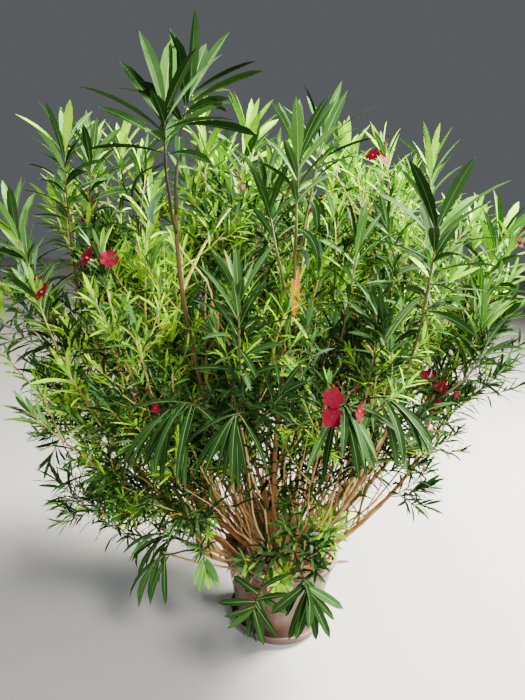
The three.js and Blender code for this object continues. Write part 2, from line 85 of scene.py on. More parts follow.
# Each cane: the azimuth of its foot, its ring of feet, where it forks (share of its curve), and
# its shoots
CANES = {
    "right_low": (345, 1, 0.52, [
        shoot_to(349, 0.54, 1.03, 0.7, 0.45),
        shoot_to(354, 0.48, 0.79, 0.62, 0.45, bend=-0.12, at=0.9, twigs=0.5)]),
    "right": (4, 0, 0.55, [
        shoot_to(9, 0.64, 1.25, 1.0, 0.55),
        shoot_to(1, 0.56, 1.085, 0.68, 0.5, at=0.84)]),
    "right_rear": (27, 1, 0.58, [
        shoot_to(10, 0.4, 1.45, 0.76, 0.72),
        shoot_to(36, 0.35, 1.5, 0.68, 0.85, at=0.94)]),
    "rear_right": (50, 0, 0.55, [
        shoot_to(54, 0.44, 1.4, 0.74, 0.75),
        shoot_to(42, 0.65, 1.01, 0.76, 0.6, bend=-0.08, at=0.84)]),
    "rear": (84, 1, 0.56, [
        shoot_to(88, 0.42, 1.47, 0.76, 0.8),
        shoot_to(72, 0.62, 1.15, 0.8, 0.7, at=0.88),
        shoot_to(99, 0.66, 0.87, 0.95, 0.55, bend=-0.1, at=0.72)]),
    "rear_left": (124, 1, 0.55, [
        shoot_to(120, 0.5, 1.45, 0.72, 0.85),
        shoot_to(134, 0.69, 1.09, 0.78, 0.7, at=0.86)]),
    "centre": (140, 0, 0.62, [
        shoot_to(144, 0.17, 1.52, 0.84, 0.9, broad=0.155),
        shoot_to(166, 0.3, 1.37, 0.62, 0.85, at=0.9)]),
    "left_rear": (164, 1, 0.55, [
        shoot_to(163, 0.65, 1.48, 0.62, 0.85, leafy=0.55, twigs=0.3),
        shoot_to(170, 0.78, 0.78, 0.7, 0.6, bend=-0.12, at=0.66)]),
    "left": (184, 0, 0.56, [
        shoot_to(181, 0.79, 1.26, 0.95, 0.55, twigs=0.6),
        shoot_to(178, 0.57, 1.45, 0.82, 0.42, at=0.92, leafy=0.35, broad=0.15, twigs=0)]),
    "left_front": (190, 1, 0.55, [
        shoot_to(197, 0.69, 1.09, 0.6, 0.6, twigs=0.7),
        shoot_to(189, 0.65, 0.52, 0.45, 0.36, bend=-0.16, at=0.62, droop=0.6, broad=0.11)]),
    "left_middle": (216, 0, 0.58, [
        shoot_to(210, 0.54, 1.19, 0.56, 0.6, twigs=0.6),
        shoot_to(200, 0.4, 1.33, 0.6, 0.85, at=0.9, twigs=0.4)]),
    "rim_left": (212, 1, 0.55, [
        shoot_to(206, 0.4, 0.4, 0.74, 0.18, bend=0, droop=1.2, leafy=0.4, broad=0.14, twigs=0),
        shoot_to(207, 0.52, 0.73, 0.45, 0.3, bend=-0.05, at=0.8, droop=0.4, broad=0.11)]),
    "tall_left": (240, 0, 0.74, [
        shoot_to(229, 0.385, 1.56, 0.98, 0.21, bend=0.1, peak=0.72, leafy=0.36, broad=0.185,
                 spread=1.4, twigs=0, old=4),
        shoot_to(237, 0.52, 1.49, 0.98, 0.21, at=0.95, leafy=0.36, broad=0.185, spread=1.4,
                 twigs=0, old=2)]),
    "hanging_left": (248, 1, 0.6, [
        shoot_to(242, 0.51, 0.9, 1.06, 0.06, bend=-0.16, droop=0.95, leafy=0.13, broad=0.095,
                 spread=1.7, twigs=0),
        shoot_to(253, 0.45, 1.13, 0.8, 0.3, bend=0.05, at=0.9, twigs=0.5)]),
    "middle": (264, 0, 0.78, [
        shoot_to(281, 0.25, 1.48, 0.78, 0.36, sway=-0.06, leafy=0.36, broad=0.15, twigs=0, old=4),
        shoot_to(268, 0.35, 1.43, 0.78, 0.34, at=0.95, leafy=0.4, broad=0.15, twigs=0, old=4),
        shoot_to(259, 0.43, 0.35, 0.52, 0.12, bend=0.03, at=0.14, droop=0.4, leafy=0.3, broad=0.2,
                 spread=2.1, twigs=0)]),
    "hanging_right": (284, 1, 0.6, [
        shoot_to(283, 0.47, 0.91, 1.04, 0.12, bend=-0.16, droop=1.0, leafy=0.18, broad=0.105,
                 spread=1.5, twigs=0),
        shoot_to(303, 0.27, 1.23, 0.7, 0.44, at=0.9, twigs=0.6),
        shoot_to(279, 0.385, 0.365, 0.66, 0.08, bend=-0.08, at=0.2, droop=0.6, leafy=0.2,
                 broad=0.2, spread=1.7, twigs=0)]),
    "right_front": (308, 0, 0.62, [
        shoot_to(311, 0.46, 1.29, 0.95, 0.3, leafy=0.45, broad=0.16, spread=1.3, twigs=0.3,
                 old=3),
        shoot_to(298, 0.42, 1.06, 0.76, 0.3, at=0.92, leafy=0.5, twigs=0.4),
        shoot_to(332, 0.36, 0.68, 0.62, 0.5, bend=-0.14, at=0.5, leafy=0.5, twigs=0.4)]),
}
# Slighter shoots between those: bright ones along the top, ones that carry small blossoms, the
# sprays that hang low and by the big blossoms, and the branch that sweeps up on the right
SPRAYS = {
    "right_low": [
        shoot_to(341, 0.43, 0.84, 0.45, 0.5, at=0.9, twigs=0.5),
        shoot_to(351, 0.31, 0.66, 0.5, 0.4, bend=-0.04, at=0.4, droop=0.4, twigs=0.7),
        shoot_to(334, 0.25, 0.64, 0.48, 0.36, bend=-0.04, at=0.3, droop=0.4, twigs=0.7)],
    "right": [
        shoot_to(12, 0.58, 1.26, 0.68, 0.8, at=0.9, twigs=0.4),
        shoot_to(5, 0.65, 1.24, 0.6, 0.75, at=0.8, twigs=0.4)],
    "right_rear": [
        shoot_to(39, 0.47, 1.4, 0.62, 0.9, at=0.9, twigs=0.4),
        shoot_to(349, 0.26, 1.29, 0.72, 0.42, at=0.85, leafy=0.5, twigs=0.3)],
    "rear_right": [
        shoot_to(59, 0.35, 1.5, 0.8, 0.95, at=0.95, broad=0.16, twigs=0.3),
        shoot_to(43, 0.15, 1.44, 0.6, 0.8, at=0.85, twigs=0.4)],
    "rear": [
        shoot_to(98, 0.3, 1.48, 0.64, 0.9, at=0.95, twigs=0.4)],
    "rear_left": [
        shoot_to(129, 0.49, 1.62, 0.5, 0.9, at=0.95, twigs=0.3)],
    "centre": [
        shoot_to(169, 0.26, 1.48, 0.66, 0.72, at=0.95, twigs=0.3),
        shoot_to(134, 0.31, 1.48, 0.64, 0.85, at=0.9, twigs=0.3)],
    "left_rear": [
        shoot_to(158, 0.58, 1.49, 0.64, 0.88, at=0.95, leafy=0.55, broad=0.16, twigs=0.2),
        shoot_to(167, 0.46, 1.43, 0.62, 0.88, at=0.85, leafy=0.55, broad=0.16, twigs=0.2),
        shoot_to(165, 0.79, 1.33, 0.55, 0.8, at=0.8, twigs=0.4),
        shoot_to(154, 0.46, 1.33, 0.5, 0.85, at=0.8, twigs=0.4)],
    "left": [
        shoot_to(182, 0.63, 1.47, 0.82, 0.45, at=0.93, leafy=0.3, broad=0.15, twigs=0),
        shoot_to(170, 0.68, 1.36, 0.55, 0.8, at=0.85, twigs=0.4),
        shoot_to(185, 0.57, 1.27, 0.45, 0.7, at=0.8, twigs=0.4),
        shoot_to(181, 0.88, 1.17, 0.85, 0.62, at=0.85, twigs=0.5)],
    "left_front": [
        shoot_to(196, 0.53, 0.46, 0.5, 0.5, bend=-0.14, at=0.55, droop=0.8, broad=0.095),
        shoot_to(202, 0.53, 0.61, 0.5, 0.46, bend=-0.1, at=0.65, droop=0.7, broad=0.095)],
    "left_middle": [
        shoot_to(218, 0.49, 0.74, 0.42, 0.4, bend=-0.06, at=0.6, droop=0.6, leafy=0.5,
                 broad=0.11),
        shoot_to(222, 0.45, 0.83, 0.4, 0.35, at=0.75, droop=0.3)],
    "rim_left": [
        shoot_to(220, 0.295, 0.325, 0.5, 0.55, bend=0, at=1, droop=0.9, leafy=0.42, broad=0.24,
                 spread=1.8, twigs=0),
        shoot_to(209, 0.41, 0.34, 0.85, 0.26, bend=0, at=1, droop=1.4, leafy=0.3, broad=0.13,
                 twigs=0),
        shoot_to(204, 0.5, 0.56, 0.42, 0.5, bend=-0.06, at=0.8, droop=0.7, broad=0.11),
        shoot_to(214, 0.45, 0.54, 0.42, 0.46, bend=-0.08, at=0.7, droop=0.7, leafy=0.5,
                 broad=0.11)],
    "tall_left": [
        shoot_to(216, 0.17, 1.36, 0.5, 0.75, at=0.8, twigs=0.5)],
    "hanging_left": [
        shoot_to(254, 0.49, 0.88, 0.9, 0.06, bend=-0.16, at=0.85, droop=1.0, leafy=0.12,
                 broad=0.105, spread=1.5, twigs=0),
        shoot_to(239, 0.53, 0.89, 1.0, 0.06, bend=-0.16, at=0.95, droop=1.0, leafy=0.08,
                 broad=0.09, spread=1.5, twigs=0),
        shoot_to(222, 0.39, 0.5, 0.45, 0.4, bend=-0.1, at=0.4, droop=0.8, leafy=0.35, broad=0.11,
                 twigs=0)],
    "middle": [
        shoot_to(250, 0.23, 1.36, 0.78, 0.42, at=0.9, leafy=0.5, twigs=0.3),
        shoot_to(288, 0.11, 1.31, 0.45, 0.7, at=0.8, twigs=0.5)],
    "hanging_right": [
        shoot_to(294, 0.49, 0.925, 1.0, 0.05, bend=-0.12, at=0.95, droop=1.0, leafy=0.12,
                 broad=0.105, spread=1.5, twigs=0)],
    "right_front": [
        shoot_to(345, 0.55, 1.0, 0.62, 0.24, bend=0.14, at=0.98, leafy=0.5, twigs=0)],
}
# Young shoots in front, straight from the soil: the azimuth, reach and height of the last whorl,
# and the leaves' size and painted light
YOUNG_SHOOTS = [
    (258, 0.225, 0.404, 0.40, 0.18), (285, 0.228, 0.420, 0.40, 0.15),
    (269, 0.220, 0.308, 0.36, 0.95), (306, 0.223, 0.468, 0.38, 0.75),
    (267, 0.150, 0.504, 0.34, 0.9), (297, 0.224, 0.344, 0.34, 0.34),
    (241, 0.228, 0.337, 0.32, 0.5), (282, 0.204, 0.486, 0.34, 0.5)]
YOUNG_SHOOTS_WITH = "middle"

# Slim canes beside a cane or from its side: how many, the least and the greatest height they end
# at and their greatest reach, as shares of its shoots'. Those in front end lower and further in,
# so that the shoots behind show.
SLIM_CANES = {"tall_left": (9, 0.46, 0.72, 0.8), "middle": (11, 0.44, 0.74, 0.9),
              "hanging_left": (6, 0.9, 1.2, 0.8), "hanging_right": (6, 0.85, 1.2, 0.85),
              "right_front": (8, 0.70, 1.0, 1.0), "rim_left": (7, 1.1, 1.6, 1.0),
              "right_low": (4, 0.85, 1.05, 1.08), "right": (9, 0.80, 1.02, 1.08),
              "rear": (22, 0.40, 0.98, 1.08), "rear_left": (22, 0.40, 0.98, 1.08),
              "centre": (22, 0.36, 0.98, 1.08), "rear_right": (20, 0.45, 0.98, 1.08),
              "right_rear": (20, 0.45, 0.98, 1.08), "left_rear": (19, 0.45, 0.98, 1.08)}
USUAL_SLIM_CANES = (17, 0.56, 0.98, 1.08)

# Single dying leaves: the cane, the number of its shoot, and the height where the leaf hangs
DYING_LEAVES = {"middle": [(0, 1.166)]}

# Which canes share a piece of leaves
LEAF_PIECES = {
    "leaves_right": ("right_low", "right", "right_rear", "rear_right"),
    "leaves_rear": ("rear", "rear_left", "centre"),
    "leaves_left": ("left_rear", "left", "left_front"),
    "leaves_front_left": ("left_middle", "rim_left", "tall_left", "hanging_left"),
    "leaves_front": ("middle", "hanging_right", "right_front"),
}

# Blossoms: cane, number of its shoot, and for each how far its mouth stands from the shoot's
# last whorl and which way it faces, and its size where it is only half open
BLOSSOMS = [
    ("hanging_right", 0, [((-0.033, -0.045, 0.028), (-0.1, -0.85, 0.5)),
                          ((-0.033, -0.054, -0.01), (-0.05, -0.92, 0.18)),
                          ((0.024, -0.045, 0.0), (0.85, -0.5, 0.1))]),
    ("left_front", 0, [((0.029, -0.034, 0.014), (-0.5, -0.6, 0.5))]),
    ("left_middle", 0, [((-0.023, -0.036, 0.007), (-0.6, -0.6, 0.5)),
                        ((0.028, -0.036, 0.006), (0.3, -0.8, 0.5))]),
    ("right_rear", 1, [((-0.04, -0.03, -0.005), (-0.4, -0.7, 0.6)),
                       ((-0.006, -0.022, -0.012), (0.5, -0.6, 0.5))]),
    ("right_low", 2, [((-0.03, -0.02, 0.052), (-0.5, -0.6, 0.6)),
                      ((0.006, -0.022, 0.02), (0.1, -0.9, 0.3)),
                      ((-0.012, -0.03, -0.016), (-0.2, -0.9, -0.1)),
                      ((0.046, -0.02, 0.014), (0.7, -0.5, 0.4))]),
    ("right", 3, [((0.012, -0.03, 0.012), (0.5, -0.7, 0.3), 0.7)]),
    ("left", 4, [((0.0, -0.03, 0.012), (-0.7, -0.5, 0.5), 0.6)]),
    ("left_middle", 3, [((0.0, -0.026, 0.01), (0.6, -0.5, 0.4), 0.55)]),
    ("tall_left", 2, [((0.0, -0.024, 0.01), (0.7, -0.4, 0.6), 0.5)]),
    ("middle", 4, [((0.0, -0.022, 0.008), (-0.6, -0.4, 0.7), 0.5)]),
    ("rear_left", 1, [((-0.022, 0.034, 0.04), (-0.3, 0.7, 0.6)),
                      ((0.028, 0.04, 0.03), (0.4, 0.8, 0.3))]),
    ("rear", 0, [((0.006, 0.04, 0.042), (0.1, 0.7, 0.7))]),
]
PETALS = 5
PETAL_REACH = 0.0240
THROAT_RADIUS = 0.0028
THROAT_TEETH = 10
TUBE_RADIUS = 0.0013
TUBE_LENGTH = 0.017
BUD_LENGTH = 0.019
# How many buds stand on a shoot with blossoms, and on one without
BUDS_BY_BLOSSOMS = 3
BUDS_ALONE = 7
# Shoots that end in buds with no open blossom
BUDDING = [("rear", 1), ("rear_left", 0), ("rear_right", 1), ("left_rear", 1)]

GOLDEN_ANGLE = math.radians(137.5)
DOWN = np.array([0.0, 0.0, -1.0])
# Tones of leaves, which are places in their materials: six greens that paint the leaves' light,
# from painted deep shade to painted sun, then a painted silvery sky sheen, dying yellow and rust
GREENS = ("deep", "shaded", "green", "fresh", "sunlit", "lime")
SKY_SHEEN, YELLOW, RUST = 6, 7, 8
# The painted light from which a stem is olive and from which it is green, so that stems darken
# with their shoots' painted shade, and the places of green and of the first bark in the stems'
# materials
STEM_TONE_LIGHTS = (0.30, 0.46)
GREEN_STEM, BARK_TONE = 2, 3

# Radii of limbs at the foot and at the tip. Slim canes differ at the foot, and stems above the
# last of these radii are meshed more finely.
CANE_RADII = (0.0080, 0.0044)
SHOOT_RADII = (0.0040, 0.0021)
TWIG_RADII = (0.0020, 0.0011)
FINE_TWIG_RADII = (0.0013, 0.0008)
YOUNG_SHOOT_RADII = (0.0026, 0.0013)
YOUNG_TWIG_RADII = (0.0015, 0.0010)
DRY_TWIG_RADII = (0.0023, 0.0011)
BUD_RADII = (0.0031, 0.0020)
STALK_RADII = (0.0011, 0.0011)
SLIM_CANE_RADII = (0.0022, 0.0044)
SLIM_CANE_TIP = 0.0017
THICK_STEM = 0.0021

# How leaves sit: how the gaps between whorls widen, how far the three leaves of a whorl step
# down, and the distances below the tip over which leaves open and age
MOST_WHORLS = 60
WHORL_WIDENING = 0.12
WHORL_STEP = 0.003
OPENING_DISTANCE = 0.085
AGEING_DISTANCE = 0.12
# How leaves vary: length and width as shares of the usual, arch and fold in degrees, and the
# scatter of their turn round the stem and of their roll
LENGTH_RANGE = (0.84, 1.05)
WIDTH_RANGE = (0.9, 1.12)
YOUNG_ARCH = (2, 15)
AGED_ARCH = 30
FOLD_RANGE = (6, 26)
TURN_SCATTER = 0.16
ROLL_SCATTER = 0.22
# Side twigs: the share of their length that bears leaves, and their least reach
TWIG_LEAFY = 0.75
LEAST_TWIG = 0.095

LEAF = np.dtype([("root", "3f8"), ("direction", "3f8"), ("bends_to", "3f8"), ("length", "f8"),
                 ("width", "f8"), ("turning", "f8"), ("fold", "f8"), ("roll", "f8"),
                 ("tone", "i4")])
LIMB = np.dtype([("curve", "3,3f8"), ("radii", "2f8"), ("tone", "i4"), ("wander", "f8")])


# Vectors and curves

def unit(vectors):
    """Vectors shortened or stretched to length 1."""
    return vectors / np.maximum(np.linalg.norm(vectors, axis=-1, keepdims=True), 1e-9)


def square_to(vectors, directions):
    """What is left of vectors without their part along unit directions, at length 1."""
    along = np.sum(vectors * directions, axis=-1, keepdims=True)
    return unit(vectors - along * directions)


def polar(azimuth, reach, height):
    """The point at an azimuth in degrees, a distance from the pot's axis and a height."""
    turn = np.radians(azimuth)
    return np.stack(np.broadcast_arrays(reach * np.cos(turn), reach * np.sin(turn), height), -1)


def across(directions, angles):
    """Unit vectors square to directions and turned round them by angles in radians. With side
    level and square to the direction: side * cos(angle) + (direction x side) * sin(angle)."""
    steep = np.abs(directions[..., 2:]) > 0.95
    side = unit(np.cross(np.where(steep, (1.0, 0.0, 0.0), (0.0, 0.0, 1.0)), directions))
    turned = np.cross(directions, side)
    return side * np.cos(angles)[..., None] + turned * np.sin(angles)[..., None]


def point_on(curve, t):
    """Points of quadratic curves a, b, c at shares t: (1-t)^2 a + 2t(1-t) b + t^2 c."""
    a, b, c = (curve[..., k, :][..., None, :] for k in range(3))
    t = np.asarray(t, float)[..., None]
    return (1 - t) ** 2 * a + 2 * t * (1 - t) * b + t ** 2 * c


def direction_on(curve, t):
    """Unit directions of quadratic curves a, b, c at shares t: (1-t)(b-a) + t(c-b)."""
    a, b, c = (curve[..., k, :][..., None, :] for k in range(3))
    t = np.asarray(t, float)[..., None]
    return unit((1 - t) * (b - a) + t * (c - b))


def length_of(curve):
    """The length of a quadratic curve, measured along 16 chords."""
    points = point_on(curve, np.linspace(0, 1, 17))
    return np.linalg.norm(np.diff(points, axis=-2), axis=-1).sum()


def bent_curve(start, shoot, usual_bend):
    """The source's curve from a point to a shoot's last whorl. Its middle control point stands
    off the chord by twice the bend towards the outside and down, and by twice the sway aside."""
    bend = usual_bend if shoot["bend"] is None else shoot["bend"]
    end = polar(shoot["azimuth"], shoot["reach"], shoot["height"])
    chord = end - start
    outward = polar(shoot["azimuth"], 1.0, 0.0)
    sideways = np.cross((0.0, 0.0, 1.0), outward)
    below = square_to(outward, unit(chord))
    middle = start + chord * shoot["peak"]
    middle = middle + np.linalg.norm(chord) * 2 * (bend * below + shoot["sway"] * sideways)
    return np.array([start, middle, end])


def part_of(curve, start, end):
    """The stretch of a quadratic curve between two shares, as a quadratic curve: its middle
    point is where the two ends' tangents meet."""
    a, b, c = curve
    first, last = point_on(curve, [start, end])
    middle = (1 - start) * (1 - end) * a + (start + end - 2 * start * end) * b
    return np.array([first, middle + start * end * c, last])


# The plant's growth

def shoots_of(name):
    """A cane's shoots and then its sprays."""
    return CANES[name][3] + SPRAYS.get(name, [])


def cane_curve(name):
    """A cane's curve from its foot in the soil to its first shoot's last whorl."""
    azimuth, ring, _, _ = CANES[name]
    foot = polar(azimuth, FOOT_RING_RADII[ring], SOIL_TOP)
    return bent_curve(foot, shoots_of(name)[0], CANE_BEND)


def shoot_curve(name, number):
    """A shoot's curve: the first goes on along the cane's, the others leave the cane's side."""
    fork = CANES[name][2]
    shoot = shoots_of(name)[number]
    whole = cane_curve(name)
    if number == 0:
        return part_of(whole, fork, 1)
    return bent_curve(point_on(whole, [fork * shoot["at"]])[0], shoot, SIDE_SHOOT_BEND)


def clear_of_pot(points, margin=0.005):
    """Which points are outside the pot's wall and soil, and above the ground. The wall is
    straight from the pot's foot to its neck, with the rim outside it above that."""
    pot = bpy.context.scene.oleander_pot
    neck = pot.height - pot.rim_height
    radius, height = np.hypot(points[..., 0], points[..., 1]), points[..., 2]
    up = np.clip(height / neck, 0, 1)
    wall = pot.foot_radius + up * (pot.neck_radius - pot.foot_radius)
    wall = np.where(height > neck - margin, pot.rim_radius, wall) + margin
    inside = (radius < pot.neck_radius - MOUTH_MARGIN) & (height > SOIL_TOP + margin)
    return ((height > pot.height + margin) | (radius > wall) | inside) & (height > margin)


def leaf_tips(leaves):
    """Where leaves end: direction * sin(turning) + bends_to * (1 - cos(turning)), over turning."""
    turning = np.maximum(leaves["turning"], 1e-3)
    ahead = leaves["length"] * np.sin(turning) / turning
    aside = leaves["length"] * (1 - np.cos(turning)) / turning
    return (leaves["root"] + leaves["direction"] * ahead[:, None]
            + leaves["bends_to"] * aside[:, None])


def stem_tone(light):
    """A stem's tone, a place in the stems' materials, from its shoot's painted light."""
    return int(np.searchsorted(STEM_TONE_LIGHTS, light, side="right"))


def limbs_along(curves, radii, tone=0, wander=0.0):
    """Curves as rows of limbs with one pair of radii and one tone, and how far they wander off
    the curve."""
    limbs = np.zeros(len(curves), LIMB)
    limbs["curve"], limbs["radii"] = curves, radii
    limbs["tone"], limbs["wander"] = tone, wander
    return limbs


def leaf_rows(count, **columns):
    """So many leaves with the columns that are given."""
    leaves = np.zeros(count, LEAF)
    for name, values in columns.items():
        leaves[name] = values
    return leaves


def varied_leaves(random, root, direction, bends_to, length, broad, turning, fold, roll,
                  tones, shares=None):
    """Leaves whose length in metres, width as a share of it, turning and fold in degrees are
    drawn between a least and a greatest value. Their roll scatters round 0, and each has one of
    the tones, drawn by their shares where those are given."""
    count = len(root)
    long = random.uniform(*length, count)
    return leaf_rows(count, root=root, direction=direction, bends_to=bends_to, length=long,
                     width=long * random.uniform(*broad, count),
                     turning=np.radians(random.uniform(*turning, count)),
                     fold=np.radians(random.uniform(*fold, count)),
                     roll=random.normal(0, roll, count),
                     tone=random.choice(tones, count, p=shares))


class Growth:
    """Limbs and leaves as they grow, with the random numbers that steer them."""

    def __init__(self, start):
        self.rules = bpy.context.scene.oleander_growth
        self.random = np.random.default_rng([self.rules.seed, start])
        self.limbs = []
        self.leaves = []

    def tones(self, light, small):
        """Each leaf's tone, a place in the leaves' materials: its painted light times the number
        of greens, with a scatter of 0.5 + 0.7 light times the rule's, which paints flecks of sun
        and shade, and among small leaves now and then a dying one, a quarter of those rust, or one
        with a painted silvery sheen of the sky."""
        scatter = self.rules.tone_scatter * (0.5 + 0.7 * light.clip(0, 1))
        scattered = light + self.random.normal(0, 1, len(light)) * scatter
        tones = np.clip(np.floor(scattered * len(GREENS)), 0, len(GREENS) - 1).astype(int)
        chance = self.random.random(len(light))
        dying = self.rules.yellow_share * small
        tones[chance > 1 - self.rules.sky_sheen_share * small] = SKY_SHEEN
        tones[chance < dying] = YELLOW
        tones[chance < dying * 0.25] = RUST
        return tones

    def below_tip(self, whorl):
        """How far whorls stand below their stem's tip: the gap times k + 0.12 k^2."""
        return self.rules.whorl_gap * (whorl + WHORL_WIDENING * whorl ** 2)

    def add_leaves(self, curve, shoot, leafy=None, size=1.0):
        """Leaves in whorls of three down a stem from its tip, each whorl turned by 60 degrees
        from the last. The leaves open from the stem by an angle that goes from upright at the
        tip to wide lower down as 1 - exp(-distance), sag by the shoot's droop, and bend along an
        arc towards their underside and the ground, the more the older they are. The lower they
        sit, the smaller they are and the deeper their green, partly their age and partly painted
        shade within the crown."""
        rules, random = self.rules, self.random
        length, droop, spread = length_of(curve), shoot["droop"], shoot["spread"]
        number = np.arange(MOST_WHORLS)
        number = number[self.below_tip(number) <= length * (leafy or shoot["leafy"])]
        whorl, leg = np.repeat(number, 3), np.tile(np.arange(3), len(number))
        count = len(whorl)
        below = self.below_tip(whorl) + WHORL_STEP * leg
        t = np.clip(1 - below / length, 0, 1)
        root, stem = point_on(curve, t), direction_on(curve, t)
        opened = 1 - np.exp(-below * spread / OPENING_DISTANCE)
        angle = rules.tip_angle + (rules.foot_angle - rules.tip_angle) * opened
        angle = angle * spread + random.normal(0, math.radians(7 + 9 * droop), count)
        turn = random.random() * math.tau + whorl * math.radians(60) + leg * math.tau / 3
        outward = across(stem, turn + random.normal(0, TURN_SCATTER, count))
        direction = stem * np.cos(angle)[:, None] + outward * np.sin(angle)[:, None]
        direction[:, 2] -= droop * (0.4 + 0.6 * np.sin(angle))
        direction = unit(direction)
        weight = np.clip(0.25 + 0.6 * droop, 0, 0.8)
        under = weight * square_to(DOWN, direction) - (1 - weight) * square_to(stem, direction)
        young = np.exp(-below / AGEING_DISTANCE)
        share = (0.72 + 0.28 * young) * np.where(whorl == 0, 0.86, 1) * size
        long = rules.leaf_length * shoot["leaf"] * share * random.uniform(*LENGTH_RANGE, count)
        wide = long * shoot["broad"] * random.uniform(*WIDTH_RANGE, count)
        arch = np.radians(random.uniform(*YOUNG_ARCH, count) + AGED_ARCH * (1 - young))
        hanging_room = np.arccos(np.clip(-direction[:, 2], -1, 1))
        turning = np.minimum(arch + 0.45 * droop * hanging_room, 0.85 * hanging_room + 0.05)
        leaves = leaf_rows(
            count, root=root, direction=direction, bends_to=square_to(under, direction),
            length=long, width=wide, turning=turning,
            fold=np.radians(random.uniform(*FOLD_RANGE, count)),
            roll=random.normal(0, ROLL_SCATTER, count),
            tone=self.tones(shoot["light"] - rules.inner_shade * below, size < 1))
        middle = root + direction * (long / 2)[:, None]
        self.leaves.append(leaves[clear_of_pot(middle) & clear_of_pot(leaf_tips(leaves))])

    def add_old_leaves(self, curve, shoot):
        """Single broad dark leaves that hang from the bare stretch of a shoot's stem, dealt the
        two greens of painted shade, some with a painted silvery sheen of the sky.
        """
        random, count = self.random, shoot["old"]
        t = random.uniform(0.05, 1 - shoot["leafy"], count)
        outward = across(direction_on(curve, t), random.uniform(0, math.tau, count))
        direction = unit(outward + np.array([0.0, -0.2, 0.1]))
        self.leaves.append(varied_leaves(
            random, point_on(curve, t), direction, square_to(DOWN, direction),
            length=(0.085, 0.135), broad=(0.17, 0.23), turning=(80, 120), fold=(4, 14), roll=0.3,
            tones=[0, 1, SKY_SHEEN]))

    def side_twigs(self, curve, places, reaches):
        """Twigs that leave a stem at some places, each turned by the golden angle from the last
        and rising at its end, as the source's do. Those that would touch the pot are left out."""
        places = np.asarray(places, float)
        stem = direction_on(curve, places)
        turn = self.random.random() * math.tau + GOLDEN_ANGLE * np.arange(len(places))
        leaning = self.rules.twig_angle
        direction = stem * math.cos(leaning) + across(stem, turn) * math.sin(leaning)
        half = direction * np.asarray(reaches, float)[:, None] / 2
        start = point_on(curve, places)
        middle = start + half
        end = middle + half
        end[:, 2] += self.rules.twig_rise * np.asarray(reaches, float)
        twigs = np.stack([start, middle, end], axis=1)
        return twigs[clear_of_pot(end, margin=0.02) & clear_of_pot(middle, margin=0.015)]

    def add_twigs(self, curve, places, reaches, shoot):
        """Side twigs with smaller leaves at some places of a stem, and a finer twig on each. The
        further below the tip, the darker the green painted on a spray as shade, and each differs a
        little from the next in painted light."""
        rules, random = self.rules, self.random
        tone = stem_tone(shoot["light"])
        twigs = self.side_twigs(curve, places, reaches * random.uniform(0.75, 1.15, len(places)))
        self.limbs.append(limbs_along(twigs, TWIG_RADII, tone))
        for twig in twigs:
            below = np.linalg.norm(twig[0] - curve[2])
            light = shoot["light"] - rules.inner_shade * (below - 0.15)
            spray = shoot | dict(light=light + random.normal(-0.02, rules.spray_scatter))
            self.add_leaves(twig, spray, leafy=TWIG_LEAFY, size=rules.twig_leaf)
            finer = self.side_twigs(twig, [random.uniform(0.3, 0.55)], [random.uniform(0.06, 0.1)])
            self.limbs.append(limbs_along(finer, FINE_TWIG_RADII, tone))
            for fine in finer:
                self.add_leaves(fine, spray, leafy=TWIG_LEAFY, size=rules.fine_leaf)

    def add_shoot(self, curve, shoot):
        """One shoot: its stem, side twigs every so often below its leafy spire, finer twigs on
        those, and the leaves of all. Bare stretches below the leafy part stay bare."""
        length = length_of(curve)
        self.limbs.append(limbs_along([curve], SHOOT_RADII, stem_tone(shoot["light"]),
                                      wander=0.001))
        self.add_leaves(curve, shoot)
        self.add_old_leaves(curve, shoot)
        if shoot["twigs"] > 0:
            places = np.arange(0.3, 1 - self.rules.spire / length,
                               self.rules.twig_gap / length / shoot["twigs"])
            reaches = np.maximum(LEAST_TWIG, length * (1 - places) * 0.42 + 0.05)
            self.add_twigs(curve, places, reaches, shoot)

    def add_slim_canes(self, name):
        """Slim canes from the soil beside a cane, then forks that leave its side. Each ends at a
        place in the crown near one of the cane's shoots, and bears leaves on its upper part."""
        rules, random = self.rules, self.random
        azimuth, ring, fork, _ = CANES[name]
        count, lowest, highest, furthest = SLIM_CANES.get(name, USUAL_SLIM_CANES)
        whole = cane_curve(name)
        for k in range(count):
            near = shoots_of(name)[k % 2]
            slim = USUAL_SHOOT | dict(
                azimuth=near["azimuth"] + random.uniform(-17, 17),
                reach=near["reach"] * random.uniform(0.5, furthest),
                height=SOIL_TOP + (near["height"] - SOIL_TOP) * random.uniform(lowest, highest),
                bend=random.uniform(0.03, 0.13), sway=random.normal(0, 0.05),
                leaf=random.uniform(0.36, 0.58), broad=random.uniform(0.11, 0.15),
                leafy=random.uniform(0.25, 0.6), spread=random.uniform(0.9, 1.3),
                # Its leaves' painted light: a share of its shoot's, widely scattered
                light=0.08 + near["light"] * 0.45 + random.uniform(-0.22, 0.66))
            if k < count * rules.soil_share:
                start = polar(azimuth + random.uniform(-50, 50),
                              FOOT_RING_RADII[ring] * random.uniform(0.4, 1.4), SOIL_TOP - 0.004)
                curve = bent_curve(start, slim, 0)
            else:
                at = random.uniform(0.25, 0.95) * fork
                start, along = point_on(whole, [at])[0], direction_on(whole, [at])[0]
                curve = bent_curve(start, slim, 0)
                heading = unit(0.5 * along + unit(curve[2] - start))
                curve[1] = start + heading * np.linalg.norm(curve[2] - start) * 0.5
            if not clear_of_pot(point_on(curve, [0.3, 0.5, 0.8, 1]), margin=0.012).all():
                continue
            radii = random.uniform(*SLIM_CANE_RADII), SLIM_CANE_TIP
            self.limbs.append(limbs_along([curve], radii, BARK_TONE + k % 2, wander=0.007))
            self.add_leaves(curve, slim)
            places = np.sort(random.uniform(1 - slim["leafy"] * 1.2, 0.86, 3))
            self.add_twigs(curve, places, random.uniform(0.08, 0.17, 3), slim)

